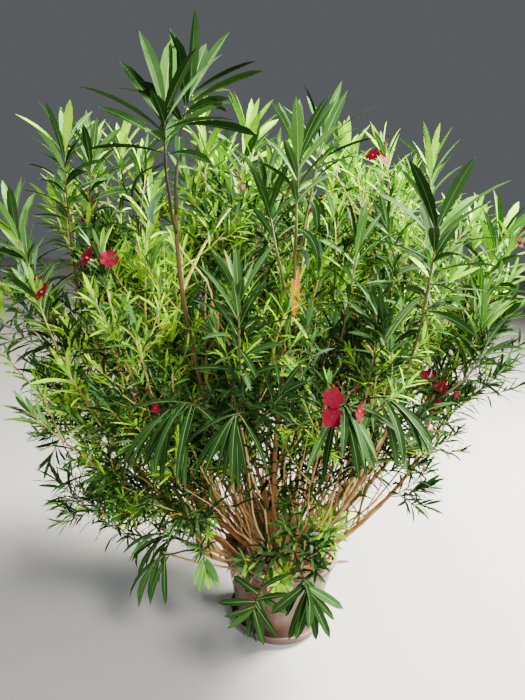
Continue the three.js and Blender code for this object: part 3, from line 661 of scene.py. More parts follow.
    def add_cane_twigs(self, name):
        """Short leafy twigs on the upper part of a cane, below its fork."""
        random = self.random
        cane = part_of(cane_curve(name), 0, CANES[name][2])
        # The twigs' leaves get a share of the first shoot's painted light: painted shade low in
        # the crown
        light = shoots_of(name)[0]["light"] * random.uniform(0.2, 0.9)
        places = np.arange(0.7, 0.98, self.rules.twig_gap * 1.8 / length_of(cane))
        self.add_twigs(cane, places, random.uniform(0.09, 0.17, len(places)),
                       USUAL_SHOOT | dict(leaf=0.66, droop=0.3, light=light))

    def add_young_shoots(self):
        """Young shoots from between the canes' feet, thin and leaning outwards, with small
        leaves: the ones that show in front, each near its place, and others round the back."""
        random = self.random
        rows = list(YOUNG_SHOOTS)
        for k in range(self.rules.young_shoots):
            rows.append((math.degrees(GOLDEN_ANGLE) * k % 230 - 25 + random.uniform(-15, 15),
                         random.uniform(0.06, 0.23), random.uniform(0.33, 0.62),
                         random.uniform(0.32, 0.48), random.uniform(0.4, 0.9)))
        for row in rows:
            young = shoot_to(*row, leafy=0.4, droop=0.3, broad=0.19, spread=1.4)
            azimuth = young["azimuth"] + random.uniform(-14, 14)
            foot = polar(azimuth, min(young["reach"] * 0.6, 0.125), SOIL_TOP - 0.005)
            curve = bent_curve(foot, young, YOUNG_SHOOT_BEND)
            self.limbs.append(limbs_along([curve], YOUNG_SHOOT_RADII, GREEN_STEM))
            self.add_leaves(curve, young)
            twigs = self.side_twigs(curve, [0.7], random.uniform(0.05, 0.08, 1))
            self.limbs.append(limbs_along(twigs, YOUNG_TWIG_RADII, GREEN_STEM))
            for twig in twigs:
                self.add_leaves(twig, young, leafy=TWIG_LEAFY, size=0.8)

    def add_dying_leaf(self, curve, height):
        """A long yellow leaf that hangs straight down from a stem at a height."""
        points = point_on(curve, np.linspace(0, 1, 60))
        direction = unit(np.array([-0.08, -0.45, -1.0]))
        self.leaves.append(leaf_rows(
            1, root=points[np.argmin(abs(points[:, 2] - height))], direction=direction,
            bends_to=square_to(np.array([0.2, 1.0, 0.0]), direction), length=0.125, width=0.025,
            turning=0.5, fold=0.3, roll=0.3, tone=YELLOW))


def grow(names):
    """All limbs and leaves of some canes' shoots, side twigs and slim canes, as two arrays."""
    limbs, leaves = [], []
    for name in names:
        growth = Growth(list(CANES).index(name))
        for number, row in enumerate(shoots_of(name)):
            growth.add_shoot(shoot_curve(name, number), row)
        if shoots_of(name)[0]["twigs"] > 0:
            growth.add_cane_twigs(name)
        growth.add_slim_canes(name)
        if name == YOUNG_SHOOTS_WITH:
            growth.add_young_shoots()
        for number, height in DYING_LEAVES.get(name, []):
            growth.add_dying_leaf(shoot_curve(name, number), height)
        limbs += growth.limbs
        leaves += growth.leaves
    return np.concatenate(limbs), np.concatenate(leaves)


# Surfaces

def grid_faces(rows, columns, closed=False):
    """Quads of a grid of points numbered along its rows; closed joins the last column to the
    first."""
    row = np.arange(rows - 1)[:, None] * columns
    column = np.arange(columns if closed else columns - 1)[None, :]
    after = (column + 1) % columns
    quads = np.stack([row + column, row + after,
                      row + columns + after, row + columns + column], -1)
    return quads.reshape(-1, 4)


def repeated(faces, count, points):
    """The faces of one shape for count copies of it with so many points each."""
    return (faces[None] + (np.arange(count) * points)[:, None, None]).reshape(-1, faces.shape[1])


def mesh_piece(name, points, faces, materials, which=None):
    """A piece from arrays: points, quads, its materials, and which material each quad wears."""
    mesh = bpy.data.meshes.new(name)
    mesh.vertices.add(len(points))
    mesh.vertices.foreach_set("co", np.asarray(points, np.float32).ravel())
    mesh.loops.add(faces.size)
    mesh.loops.foreach_set("vertex_index", np.asarray(faces, np.int32).ravel())
    mesh.polygons.add(len(faces))
    mesh.polygons.foreach_set("loop_start", np.arange(0, faces.size, 4, dtype=np.int32))
    for material in materials:
        mesh.materials.append(material)
    if which is not None:
        mesh.polygons.foreach_set("material_index", np.asarray(which, np.int32))
    mesh.update(calc_edges=True)
    mesh.validate()
    mesh.shade_smooth()
    piece = bpy.data.objects.new(name, mesh)
    bpy.context.scene.collection.objects.link(piece)
    return piece


def dress(piece, slot, *nodes):
    """Sets a piece on the plant's one body, in place of some nodes. The slot is not used."""
    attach(piece, "root")
    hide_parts(*nodes)


def eased(profile, set_back, steps=5):
    """A profile whose corners give way to quadratic arcs that start set_back before each corner
    and end as far after it."""
    profile = np.asarray(profile, float)
    corner, before, after = profile[1:-1], profile[:-2], profile[2:]
    reach_before = np.linalg.norm(before - corner, axis=1)
    reach_after = np.linalg.norm(after - corner, axis=1)
    back = np.minimum(set_back, 0.45 * np.minimum(reach_before, reach_after))[:, None]
    start = corner + unit(before - corner) * back
    end = corner + unit(after - corner) * back
    arcs = point_on(np.stack([start, corner, end], axis=1), np.linspace(0, 1, steps))
    return np.vstack([profile[:1], arcs.reshape(-1, 2), profile[-1:]])


def turned(profile, sides):
    """A surface of revolution: the profile's radius and height carried round the axis. Returns
    points on a grid of angles by profile stations, and its quads."""
    angle = np.linspace(0, math.tau, sides, endpoint=False)[None, :]
    radius, height = profile[:, :1], profile[:, 1:]
    points = np.stack([radius * np.cos(angle), radius * np.sin(angle),
                       height + 0 * angle], axis=-1)
    return points, grid_faces(len(profile), sides, closed=True)


def tube_frames(curves, t):
    """Points and two side vectors along curves. A quadratic curve is flat, so the normal of its
    plane serves the whole way, and the other side vector is square to it."""
    points = point_on(curves, t)
    directions = direction_on(curves, t)
    plane = np.cross(curves[:, 1] - curves[:, 0], curves[:, 2] - curves[:, 1])
    straight = np.linalg.norm(plane, axis=1, keepdims=True) < 1e-7
    spare = np.cross(curves[:, 2] - curves[:, 0], (0.3, 0.5, 0.81))
    normal = unit(np.where(straight, spare, plane))[:, None, :] + 0 * directions
    return points, normal, np.cross(normal, directions)


def end_caps(rows, sides):
    """Quads that close both ends of a tube with an even number of sides."""
    middle = np.arange(1, sides - 1, 2)
    near = np.stack([0 * middle, middle + 2, middle + 1, middle], -1)
    last = (rows - 1) * sides
    far = last + np.stack([0 * middle, middle, middle + 1, middle + 2], -1)
    return near, far


def tubes(limbs, steps, sides, relief=None):
    """Tapering tubes along limbs. Each ring is its centre plus side vectors times the radius,
    which falls evenly from foot to tip and is multiplied by relief(t, angle) where it is
    given. The centres wander off the curve by the limb's wander times 6.75 t (1-t)^2 and a wave
    of their own. Returns points, quads, and how many quads each limb has."""
    t = np.linspace(0, 1, steps + 1)
    angle = np.linspace(0, math.tau, sides, endpoint=False)
    points, first, second = tube_frames(limbs["curve"], t)
    number = np.arange(len(limbs))[:, None]
    swing = 6.75 * limbs["wander"][:, None] * t * (1 - t) ** 2
    points = points + (swing * np.sin(17 * t + number))[..., None] * first
    points = points + (swing * np.sin(13 * t + 2.4 * number))[..., None] * second
    radius = limbs["radii"][:, :1] * (1 - t) + limbs["radii"][:, 1:] * t
    radius = radius[:, :, None] * (1 if relief is None else relief(t, angle))
    round_it = (first[:, :, None] * np.cos(angle)[:, None]
                + second[:, :, None] * np.sin(angle)[:, None])
    rings = points[:, :, None] + radius[..., None] * round_it
    near, far = end_caps(steps + 1, sides)
    faces = np.vstack([grid_faces(steps + 1, sides, closed=True), near, far])
    count = (steps + 1) * sides
    return rings.reshape(-1, 3), repeated(faces, len(limbs), count), len(faces)


# Shares of a leaf's length at which its outline is taken, for long leaves and for short ones
LONG_LEAF_STATIONS = np.array([0, 0.08, 0.24, 0.43, 0.64, 0.84, 1.0])
SHORT_LEAF_STATIONS = np.array([0, 0.2, 0.5, 0.8, 1.0])
SHORT_LEAF = 0.085
RIB_HALF_WIDTH = 0.0008


def leaf_blades(leaves, v, ribbed):
    """Narrow leaves. The midrib is an arc in the plane of direction and bends_to. The outline is
    (4.5 v^1.2 (1-v))^0.8 of the width, broadest just past the middle, with a lower power for
    broad leaves, which makes them blunt. Each half is folded up from the midrib, and the whole
    is rolled about it. A ribbed leaf has four points across: margin, rib, rib, margin. Others
    have three. Returns points, quads, which quads are of the midrib, and how many quads each
    leaf has."""
    turning = np.maximum(leaves["turning"], 1e-3)[:, None]
    length = leaves["length"][:, None]
    ahead = length * np.sin(turning * v) / turning
    aside = length * (1 - np.cos(turning * v)) / turning
    direction = leaves["direction"][:, None]
    bends_to = leaves["bends_to"][:, None]
    centre = leaves["root"][:, None] + direction * ahead[..., None] + bends_to * aside[..., None]
    face = (direction * np.sin(turning * v)[..., None]
            - bends_to * np.cos(turning * v)[..., None])
    side = np.cross(direction, -bends_to) + 0 * face
    roll = (leaves["roll"][:, None] * (0.4 + 1.6 * v))[..., None]
    side, face = (side * np.cos(roll) + face * np.sin(roll),
                  face * np.cos(roll) - side * np.sin(roll))
    blunt = (leaves["width"] / leaves["length"] - 0.16).clip(0, 0.06)[:, None]
    outline = (4.5 * v ** 1.2 * (1 - v)) ** (0.8 - 5 * blunt)
    half = np.maximum(leaves["width"][:, None] / 2 * outline, RIB_HALF_WIDTH * 1.3)
    half = half * np.where(v == 1, 0.2, 1)
    rib = RIB_HALF_WIDTH * (1.15 - 0.95 * v) + 0 * half
    offset = np.stack([-half, -rib, rib, half] if ribbed else [-half, 0 * half, half], axis=-1)
    fold = leaves["fold"][:, None, None]
    lift = np.abs(offset) * np.sin(fold)
    points = (centre[:, :, None] + side[:, :, None] * (offset * np.cos(fold))[..., None]
              + face[:, :, None] * lift[..., None])
    columns = offset.shape[-1]
    one = grid_faces(len(v), columns)
    faces = repeated(one, len(leaves), len(v) * columns)
    is_rib = np.array([False, True, False] if ribbed else [False, False])
    return points.reshape(-1, 3), faces, np.tile(is_rib, len(leaves) * (len(v) - 1)), len(one)


def leaf_piece(name, leaves, tones):
    """Leaves joined into one piece. tones gives each tone its blade and its rib material."""
    materials = list(dict.fromkeys(material for pair in tones for material in pair))
    blade = np.array([materials.index(pair[0]) for pair in tones])
    rib = np.array([materials.index(pair[1]) for pair in tones])
    long = leaves["length"] > SHORT_LEAF
    points, faces, which = [], [], []
    for chosen, stations, ribbed in ((leaves[long], LONG_LEAF_STATIONS, True),
                                     (leaves[~long], SHORT_LEAF_STATIONS, False)):
        some, quads, is_rib, each = leaf_blades(chosen, stations, ribbed)
        faces.append(quads + sum(len(part) for part in points))
        points.append(some)
        tone = np.repeat(chosen["tone"], each)
        which.append(np.where(is_rib, rib[tone], blade[tone]))
    return mesh_piece(name, np.vstack(points), np.vstack(faces), materials, np.concatenate(which))


# Finishes

class Value:
    """An output socket of a finish, with Python's operators on the number that it carries."""

    def __init__(self, finish, socket):
        self.finish = finish
        self.socket = socket

    def maths(self, operation, first, second=0.0, clamp=False):
        """What a maths node makes of two numbers, held between 0 and 1 where clamp is set."""
        settings = {"operation": operation, "use_clamp": clamp}
        return self.finish.node("ShaderNodeMath", settings, {0: first, 1: second})

    def __add__(self, other):
        return self.maths("ADD", self, other)

    def __sub__(self, other):
        return self.maths("SUBTRACT", self, other)

    def __rsub__(self, other):
        return self.maths("SUBTRACT", other, self)

    def __mul__(self, other):
        return self.maths("MULTIPLY", self, other)

    __radd__ = __add__
    __rmul__ = __mul__

    def between(self, low, high):
        """0 at low, 1 at high and straight between, held to that range."""
        return ((self - low) * (1 / (high - low))).held()

    def held(self):
        """The number held between 0 and 1."""
        return self.maths("ADD", self, 0.0, clamp=True)


class Finish:
    """A material in the making: its nodes, its Object coordinates and its Principled shader."""

    def __init__(self, name):
        self.material = bpy.data.materials.new(name)
        self.material.use_nodes = True
        self.tree = self.material.node_tree
        self.shader = self.tree.nodes["Principled BSDF"]
        self.place = self.node("ShaderNodeTexCoord", output="Object")

    def node(self, kind, settings=None, inputs=None, output=0):
        """A node of a kind with its settings made first, then its inputs set or linked."""
        made = self.tree.nodes.new(kind)
        for name, value in (settings or {}).items():
            setattr(made, name, value)
        for name, value in (inputs or {}).items():
            self.feed(made.inputs[name], value)
        return Value(self, made.outputs[output])

    def feed(self, socket, value):
        """Links a value to an input socket, or sets a plain number or colour there."""
        if isinstance(value, Value):
            self.tree.links.new(value.socket, socket)
        else:
            socket.default_value = value

    def stretched(self, x, y, z):
        """The Object coordinates times a factor on each axis."""
        return self.node("ShaderNodeVectorMath", {"operation": "MULTIPLY"},
                         {0: self.place, 1: (x, y, z)})

    def noise(self, scale, detail=3.0, place=None, roughness=0.55):
        """Fractal noise from 0 to 1, at so many spots a metre."""
        return self.node("ShaderNodeTexNoise", {}, {
            "Vector": place or self.place, "Scale": scale, "Detail": detail,
            "Roughness": roughness})

    def height(self):
        """The height above the ground in metres."""
        return self.node("ShaderNodeSeparateXYZ", {}, {0: self.place}, output="Z")

    def mix(self, share, first, second):
        """A colour between two, by a share."""
        return self.node("ShaderNodeMix", {"data_type": "RGBA"},
                         {0: share, 6: first, 7: second}, output=2)

    def shades(self, colour, share, low, high):
        """A colour times a factor that goes from low to high with a share."""
        return self.mix(share, opaque(colour, low), opaque(colour, high))

    def bump(self, height, distance, strength=1.0):
        """The normals of a relief, where a height of 1 stands for a distance in metres."""
        return self.node("ShaderNodeBump", {}, {
            "Strength": strength, "Distance": distance, "Height": height}, output="Normal")

    def wear(self, **sockets):
        """Feeds the shader's sockets, named with underscores for spaces, and ends the making."""
        for name, value in sockets.items():
            self.feed(self.shader.inputs[name.replace("_", " ")], value)
        return self.material


def opaque(colour, factor=1.0):
    """A colour with its alpha, brightened or darkened by a factor."""
    return (*(min(channel * factor, 1.0) for channel in colour[:3]), 1.0)


def plastic_finish():
    """Brown pot plastic: faint mottling, dust and lime runs down the wall, and a pale lip, partly
    worn and dusty, partly a painted highlight of the rim's sheen.
    """
    finish = Finish("pot_plastic")
    pot = bpy.context.scene.oleander_pot
    mottle = finish.noise(14, detail=4)
    runs = finish.noise(1, detail=4, place=finish.stretched(46, 46, 4)).between(0.5, 0.78)
    specks = finish.noise(160, detail=2).between(0.62, 0.74)
    low_dust = 1 - finish.height().between(0.03, 0.12)
    # The rim's pale top: partly dust and wear, partly a painted highlight of its sheen
    lip_dust_and_sheen = finish.height().between(pot.height - 0.007, pot.height - 0.001)
    dust_and_sheen = (runs * 0.22 + specks * 0.14 + low_dust * mottle * 0.4 + lip_dust_and_sheen * 0.45).held()
    body = finish.shades(pot.plastic, mottle, 0.84, 1.16)
    return finish.wear(
        Base_Color=finish.mix(dust_and_sheen, body, opaque(pot.dust_and_sheen)),
        Roughness=(0.22 + dust_and_sheen * 0.3 + mottle * 0.1).held(),
        Specular_IOR_Level=0.5,
        Normal=finish.bump(finish.noise(420, detail=2) + runs * 0.3,
                           distance=0.0004, strength=0.35))


def soil_finish():
    """Dry crumbly soil: dark clods with pale dusty tops."""
    finish = Finish("potting_soil")
    clods = finish.noise(70, detail=6, roughness=0.7)
    grit = finish.noise(420, 3)
    colour = finish.mix(clods.between(0.35, 0.7), (0.035, 0.020, 0.012, 1), (0.17, 0.10, 0.062, 1))
    return finish.wear(
        Base_Color=finish.mix(grit.between(0.6, 0.8), colour, (0.34, 0.25, 0.18, 1)),
        Roughness=0.95, Specular_IOR_Level=0.2,
        Normal=finish.bump(clods + grit * 0.3, distance=0.004, strength=0.9))


def bark_finish(name, colour, pale, young):
    """Thin bark: orange-brown in long streaks, with pale patches and corky spots. Higher up it
    gives way to the colour of young wood."""
    finish = Finish(name)
    streaks = finish.noise(1, detail=5, place=finish.stretched(210, 210, 16), roughness=0.65)
    patches = finish.noise(26, 3).between(0.42, 0.64)
    spots = finish.noise(330, detail=2).between(0.63, 0.72)
    bark = finish.shades(colour, streaks, 0.55, 1.25)
    bark = finish.mix(patches * 0.55, bark, opaque(pale))
    up = finish.height().between(0.45, 1.05)
    bark = finish.mix(up * 0.85, bark, opaque(young))
    return finish.wear(
        Base_Color=finish.mix(spots * (0.6 - up * 0.5), bark, opaque(pale, 1.25)),
        Roughness=(0.62 + streaks * 0.25).held(), Specular_IOR_Level=0.15,
        Normal=finish.bump(streaks + spots * 0.5, distance=0.0012, strength=0.8))


def stem_finish(name, colour):
    """A green or dark young stem, streaked a little along its length."""
    finish = Finish(name)
    streaks = finish.noise(1, place=finish.stretched(160, 160, 24))
    return finish.wear(
        Base_Color=finish.shades(colour, streaks, 0.72, 1.28),
        Roughness=0.6, Specular_IOR_Level=0.15,
        Normal=finish.bump(streaks, distance=0.0006, strength=0.5))


def leaf_finish(name, colour, roughness=0.68):
    """A leathery leaf: slight mottling within the tone, a soft sheen and a fine grain."""
    finish = Finish(name)
    mottle = finish.noise(34, detail=4)
    grain = finish.noise(900, detail=2)
    return finish.wear(
        Base_Color=finish.shades(colour, mottle, 0.78, 1.22),
        Roughness=(roughness - 0.06 + mottle * 0.14).held(), Specular_IOR_Level=0.03,
        Normal=finish.bump(grain + mottle * 2, distance=0.0005, strength=0.3))


def petal_finish(name, colour):
    """Soft petals with faint veins of a deeper shade."""
    finish = Finish(name)
    veins = finish.noise(260, 3)
    return finish.wear(
        Base_Color=finish.shades(colour, veins, 0.72, 1.2),
        Roughness=0.7, Specular_IOR_Level=0.1,
        Normal=finish.bump(veins, distance=0.0006, strength=0.4))


def leaf_tone_materials():
    """The blade and rib materials of every tone of leaf: the greens of painted light from deep
    shade to lime, then the one with a painted silvery sky sheen, the dying yellow and the rust
    ones. The two greens of deepest painted shade have darker ribs."""
    tints = bpy.context.scene.oleander_tints
    dark_rib = leaf_finish("rib_shaded", tints.rib_shaded, roughness=0.5)
    pale_rib = leaf_finish("rib_fresh", tints.rib_fresh, roughness=0.5)
    pairs = [(leaf_finish(f"leaf_{name}", getattr(tints, name)), dark_rib if k < 2 else pale_rib)
             for k, name in enumerate(GREENS)]
    pairs.append((leaf_finish("leaf_silver", tints.silver, roughness=0.45), dark_rib))
    dry_rib = leaf_finish("rib_dying", (0.62, 0.44, 0.16), roughness=0.6)
    pairs.append((leaf_finish("leaf_yellow", tints.yellow, roughness=0.55), dry_rib))
    pairs.append((leaf_finish("leaf_rust", tints.rust, roughness=0.6), dry_rib))
    return pairs


def stem_materials():
    """The stems' materials: dark in painted shade, olive, pale green, and two of bark."""
    tints = bpy.context.scene.oleander_tints
    return [stem_finish("stem_dark", tints.stem_dark), stem_finish("stem_olive", tints.stem_olive),
            stem_finish("stem_green", tints.stem_green),
            bark_finish("slim_bark", tints.slim_bark, tints.pale_bark, tints.straw_bark),
            bark_finish("straw_bark", tints.straw_bark, tints.pale_bark, tints.stem_green)]


# Sizes and colours that a user would change

def metres(name, description, default):
    """A length."""
    return FloatProperty(name=name, description=description, default=default, min=0.0,
                         unit="LENGTH", subtype="DISTANCE", precision=4)


def share(name, description, default):
    """A share or a strength, where 1 is the whole."""
    return FloatProperty(name=name, description=description, default=default, min=0.0, max=2.0,
                         subtype="FACTOR")


def degrees(name, description, default):
    """An angle, with its default in degrees."""
    return FloatProperty(name=name, description=description, default=math.radians(default),
                         unit="ROTATION", subtype="ANGLE")


def tint(name, description, default):
    """A colour, in linear red, green and blue."""
    return FloatVectorProperty(name=name, description=description, default=default, size=3,
                               min=0.0, max=1.0, subtype="COLOR")


class PotSettings(PropertyGroup):
    foot_radius: metres("Foot radius", "The pot's outer radius at its foot", 0.130)
    neck_radius: metres("Neck radius", "The pot's outer radius under its rim", 0.178)
    rim_radius: metres("Rim radius", "The rim's outer radius", 0.187)
    height: metres("Height", "The rim's top above the ground", 0.253)
    rim_height: metres("Rim height", "How tall the standing rim is", 0.020)
    wall: metres("Wall", "Thickness of the pot's wall", 0.004)
    saucer_foot: metres("Saucer foot", "The saucer's radius on the ground", 0.147)
    saucer_rim: metres("Saucer rim", "The saucer's radius at its rim", 0.159)
    saucer_height: metres("Saucer height", "The saucer's height", 0.035)
    saucer_wall: metres("Saucer wall", "Thickness of the saucer", 0.003)
    plastic: tint("Plastic", "Brown of the pot and saucer", (0.088, 0.032, 0.013))
    # Also the colour of the pale lip, which is there partly a painted highlight
    dust_and_sheen: tint("Dust", "Dust and lime on the plastic", (0.330, 0.270, 0.240))


class GrowthSettings(PropertyGroup):
    seed: IntProperty(name="Seed", description="Start of the random numbers", default=11)
    leaf_length: metres("Leaf length", "Length of a full leaf", 0.202)
    whorl_gap: metres("Whorl gap", "Distance between the last two whorls", 0.012)
    tip_angle: degrees("Tip angle", "How far the last leaves open from the stem", 15)
    foot_angle: degrees("Foot angle", "How far the lowest leaves open from the stem", 56)
    spire: metres("Spire", "How much of a shoot's tip bears no side twigs", 0.20)
    twig_gap: metres("Twig gap", "Distance between side twigs along a shoot", 0.070)
    twig_angle: degrees("Twig angle", "How far side twigs open from their stem", 48)
    twig_rise: share("Twig rise", "How much side twigs rise, as a share of their reach", 0.42)
    twig_leaf: share("Twig leaf", "Size of the leaves on side twigs", 0.62)
    fine_leaf: share("Fine leaf", "Size of the leaves on the finest twigs", 0.52)
    soil_share: share("Soil share", "Share of slim canes that rise from the soil", 0.34)
    # Painted sun and shade: its scatter among leaves and sprays, and its depth inside the crown
    tone_scatter: share("Tone scatter", "How much leaves of one shoot differ in tone", 0.22)
    spray_scatter: share("Spray scatter", "How much sprays of one shoot differ in tone", 0.28)
    inner_shade: share("Inner shade", "How much darker leaves are a metre below the tip", 1.0)
    # Share of small leaves with a painted silvery reflection of the sky
    sky_sheen_share: share("Silver share", "Share of small leaves that look silvery", 0.02)
    yellow_share: share("Yellow share", "Share of small leaves that are dying", 0.010)
    young_shoots: IntProperty(name="Young shoots", description="More young shoots from the soil",
                              default=5, min=0)
    litter: IntProperty(name="Litter", description="Fallen leaves on the soil", default=620, min=0)
    dry_twigs: IntProperty(name="Dry twigs", description="Bare twigs at the foot", default=120,
                           min=0)


class TintSettings(PropertyGroup):
    # The six greens paint the leaves' light: their green as it looks from deep shade to full sun
    deep: tint("Deep", "Leaves in deep shade", (0.011, 0.032, 0.006))
    shaded: tint("Shaded", "Leaves in light shade", (0.024, 0.062, 0.012))
    green: tint("Green", "Plain green leaves", (0.056, 0.142, 0.036))
    fresh: tint("Fresh", "Fresh green leaves", (0.104, 0.258, 0.044))
    sunlit: tint("Sunlit", "Leaves with the light behind them", (0.205, 0.455, 0.012))
    lime: tint("Lime", "The brightest leaves", (0.350, 0.670, 0.004))
    # A painted silvery reflection of the sky on some leaves
    silver: tint("Silver", "Leaves with a silvery look", (0.130, 0.220, 0.150))
    yellow: tint("Yellow", "Dying leaves", (0.420, 0.165, 0.003))
    rust: tint("Rust", "Dead leaves still held", (0.330, 0.100, 0.020))
    rib_shaded: tint("Shaded rib", "Midribs of dark leaves", (0.105, 0.205, 0.060))
    rib_fresh: tint("Fresh rib", "Midribs of bright leaves", (0.480, 0.600, 0.180))
    # Stems are dealt these three by their shoots' painted light
    stem_dark: tint("Dark stem", "Stems of the dark shoots", (0.034, 0.031, 0.010))
    stem_olive: tint("Olive stem", "Stems of the green shoots", (0.095, 0.088, 0.024))
    stem_green: tint("Green stem", "Stems of the bright shoots", (0.500, 0.420, 0.110))
    bark: tint("Bark", "The canes' bark", (0.255, 0.104, 0.031))
    slim_bark: tint("Slim bark", "The slim canes' bark", (0.410, 0.162, 0.042))
    straw_bark: tint("Straw bark", "The palest slim canes' bark", (0.520, 0.330, 0.120))
    pale_bark: tint("Pale bark", "Pale patches on the bark", (0.420, 0.240, 0.100))
    petal: tint("Petal", "The blossoms' petals", (0.124, 0.000, 0.010))
    eye: tint("Eye", "The blossoms' throat", (0.620, 0.200, 0.200))


class StageSettings(PropertyGroup):
    floor: tint("Floor", "The floor's colour", (0.34, 0.33, 0.315))
    surround: tint("Surround", "The light from all round", (0.80, 0.86, 0.92))
    surround_strength: share("Surround strength", "How strong that light is", 0.13)
    key_watts: FloatProperty(name="Key light", description="The main light's power", default=2350,
                             unit="POWER")
    front_watts: FloatProperty(name="Front light", description="The light from in front",
                               default=390, unit="POWER")
    fill_watts: FloatProperty(name="Fill light", description="The soft light from the left",
                              default=95, unit="POWER")


# Pieces

class OLEANDER_OT_pot(Operator):
    """Make the pot and its saucer as turned shells with rounded edges, a little oval"""
    bl_idname = "oleander.pot"
    bl_label = "Pot and saucer"

    def execute(self, context):
        sizes = context.scene.oleander_pot
        plastic = plastic_finish()
        for name, profile in (("saucer", self.saucer_profile(sizes)),
                              ("pot", self.pot_profile(sizes))):
            points, faces = turned(profile, sides=144)
            angle = np.arctan2(points[..., 1], points[..., 0])
            oval = 1 + 0.0025 * np.cos(2 * angle + 0.6) * (points[..., 2] / sizes.height)
            points[..., :2] *= oval[..., None]
            piece = mesh_piece(f"{name}_shell", points.reshape(-1, 3), faces, [plastic])
            dress(piece, "pot_plastic", name)
        return {"FINISHED"}

    def saucer_profile(self, sizes):
        """Radius and height from the middle of the underside round to the middle inside."""
        foot, rim, top = sizes.saucer_foot, sizes.saucer_rim, sizes.saucer_height
        wall = sizes.saucer_wall
        return np.vstack([[(0.0005, 0)], eased([
            (0.1, 0), (foot, 0), (rim - 0.001, top - 0.006), (rim + 0.002, top - 0.005),
            (rim + 0.002, top), (rim - wall, top), (foot - wall, wall), (0.1, wall)],
            set_back=0.0022), [(0.0005, wall)]])

    def pot_profile(self, sizes):
        """Radius and height from the middle of the underside round to the middle inside."""
        low = sizes.saucer_wall + 0.0003
        neck = sizes.height - sizes.rim_height
        inner = sizes.neck_radius - sizes.wall
        rim, top = sizes.rim_radius, sizes.height
        return np.vstack([[(0.0005, low)], eased([
            (0.1, low), (sizes.foot_radius, low), (sizes.neck_radius, neck),
            (rim - 0.001, neck + 0.0005), (rim, top - 0.003), (rim - 0.002, top),
            (rim - 0.008, top), (inner, neck), (sizes.foot_radius - sizes.wall, low + sizes.wall),
            (0.1, low + sizes.wall)], set_back=0.0024), [(0.0005, low + sizes.wall)]])


# Waves that sum to the soil's crumbs: radians a metre, and the way they run in radians
CRUMB_WAVES = ((90, 0.3), (140, 1.9), (210, 3.1), (330, 4.4), (520, 5.2), (640, 0.9))


class OLEANDER_OT_soil(Operator):
    """Make the soil with its crumbly top, mounded a little between the canes"""
    bl_idname = "oleander.soil"
    bl_label = "Soil"

    def execute(self, context):
        sizes = context.scene.oleander_pot
        low = sizes.saucer_wall + sizes.wall + 0.001
        edge = sizes.neck_radius - sizes.wall - 0.0022
        bottom = sizes.foot_radius - sizes.wall - 0.001
        out = np.linspace(0.001, 1, 40)
        top = np.stack([edge * out, SOIL_TOP - 0.009 * out ** 4], -1)
        profile = np.vstack([[(0.0005, low)], [(bottom, low)], top[::-1]])
        points, faces = turned(profile, sides=160)
        x, y = points[..., 0], points[..., 1]
        loose = np.zeros(x.shape)
        loose[2:] = 1
        crumbs = sum(
            np.sin(scale * (x * math.cos(turn) + y * math.sin(turn)) + turn * 7) / scale
            for scale, turn in CRUMB_WAVES)
        points[..., 2] += loose * (crumbs * 0.35 + 0.003)
        piece = mesh_piece("soil_heap", points.reshape(-1, 3), faces, [soil_finish()])
        dress(piece, "soil", "soil")
        return {"FINISHED"}


# Finishes of fallen leaves: the name, the colour and the share of leaves that wear it
LITTER_TONES = (("litter_tan", (0.62, 0.42, 0.27), 0.30),
                ("litter_rose", (0.62, 0.36, 0.28), 0.24),
                ("litter_brown", (0.27, 0.15, 0.09), 0.16),
                ("litter_straw", (0.74, 0.58, 0.40), 0.20),
                ("litter_grey", (0.46, 0.40, 0.34), 0.10))
LEAVES_OVER_RIM = 14


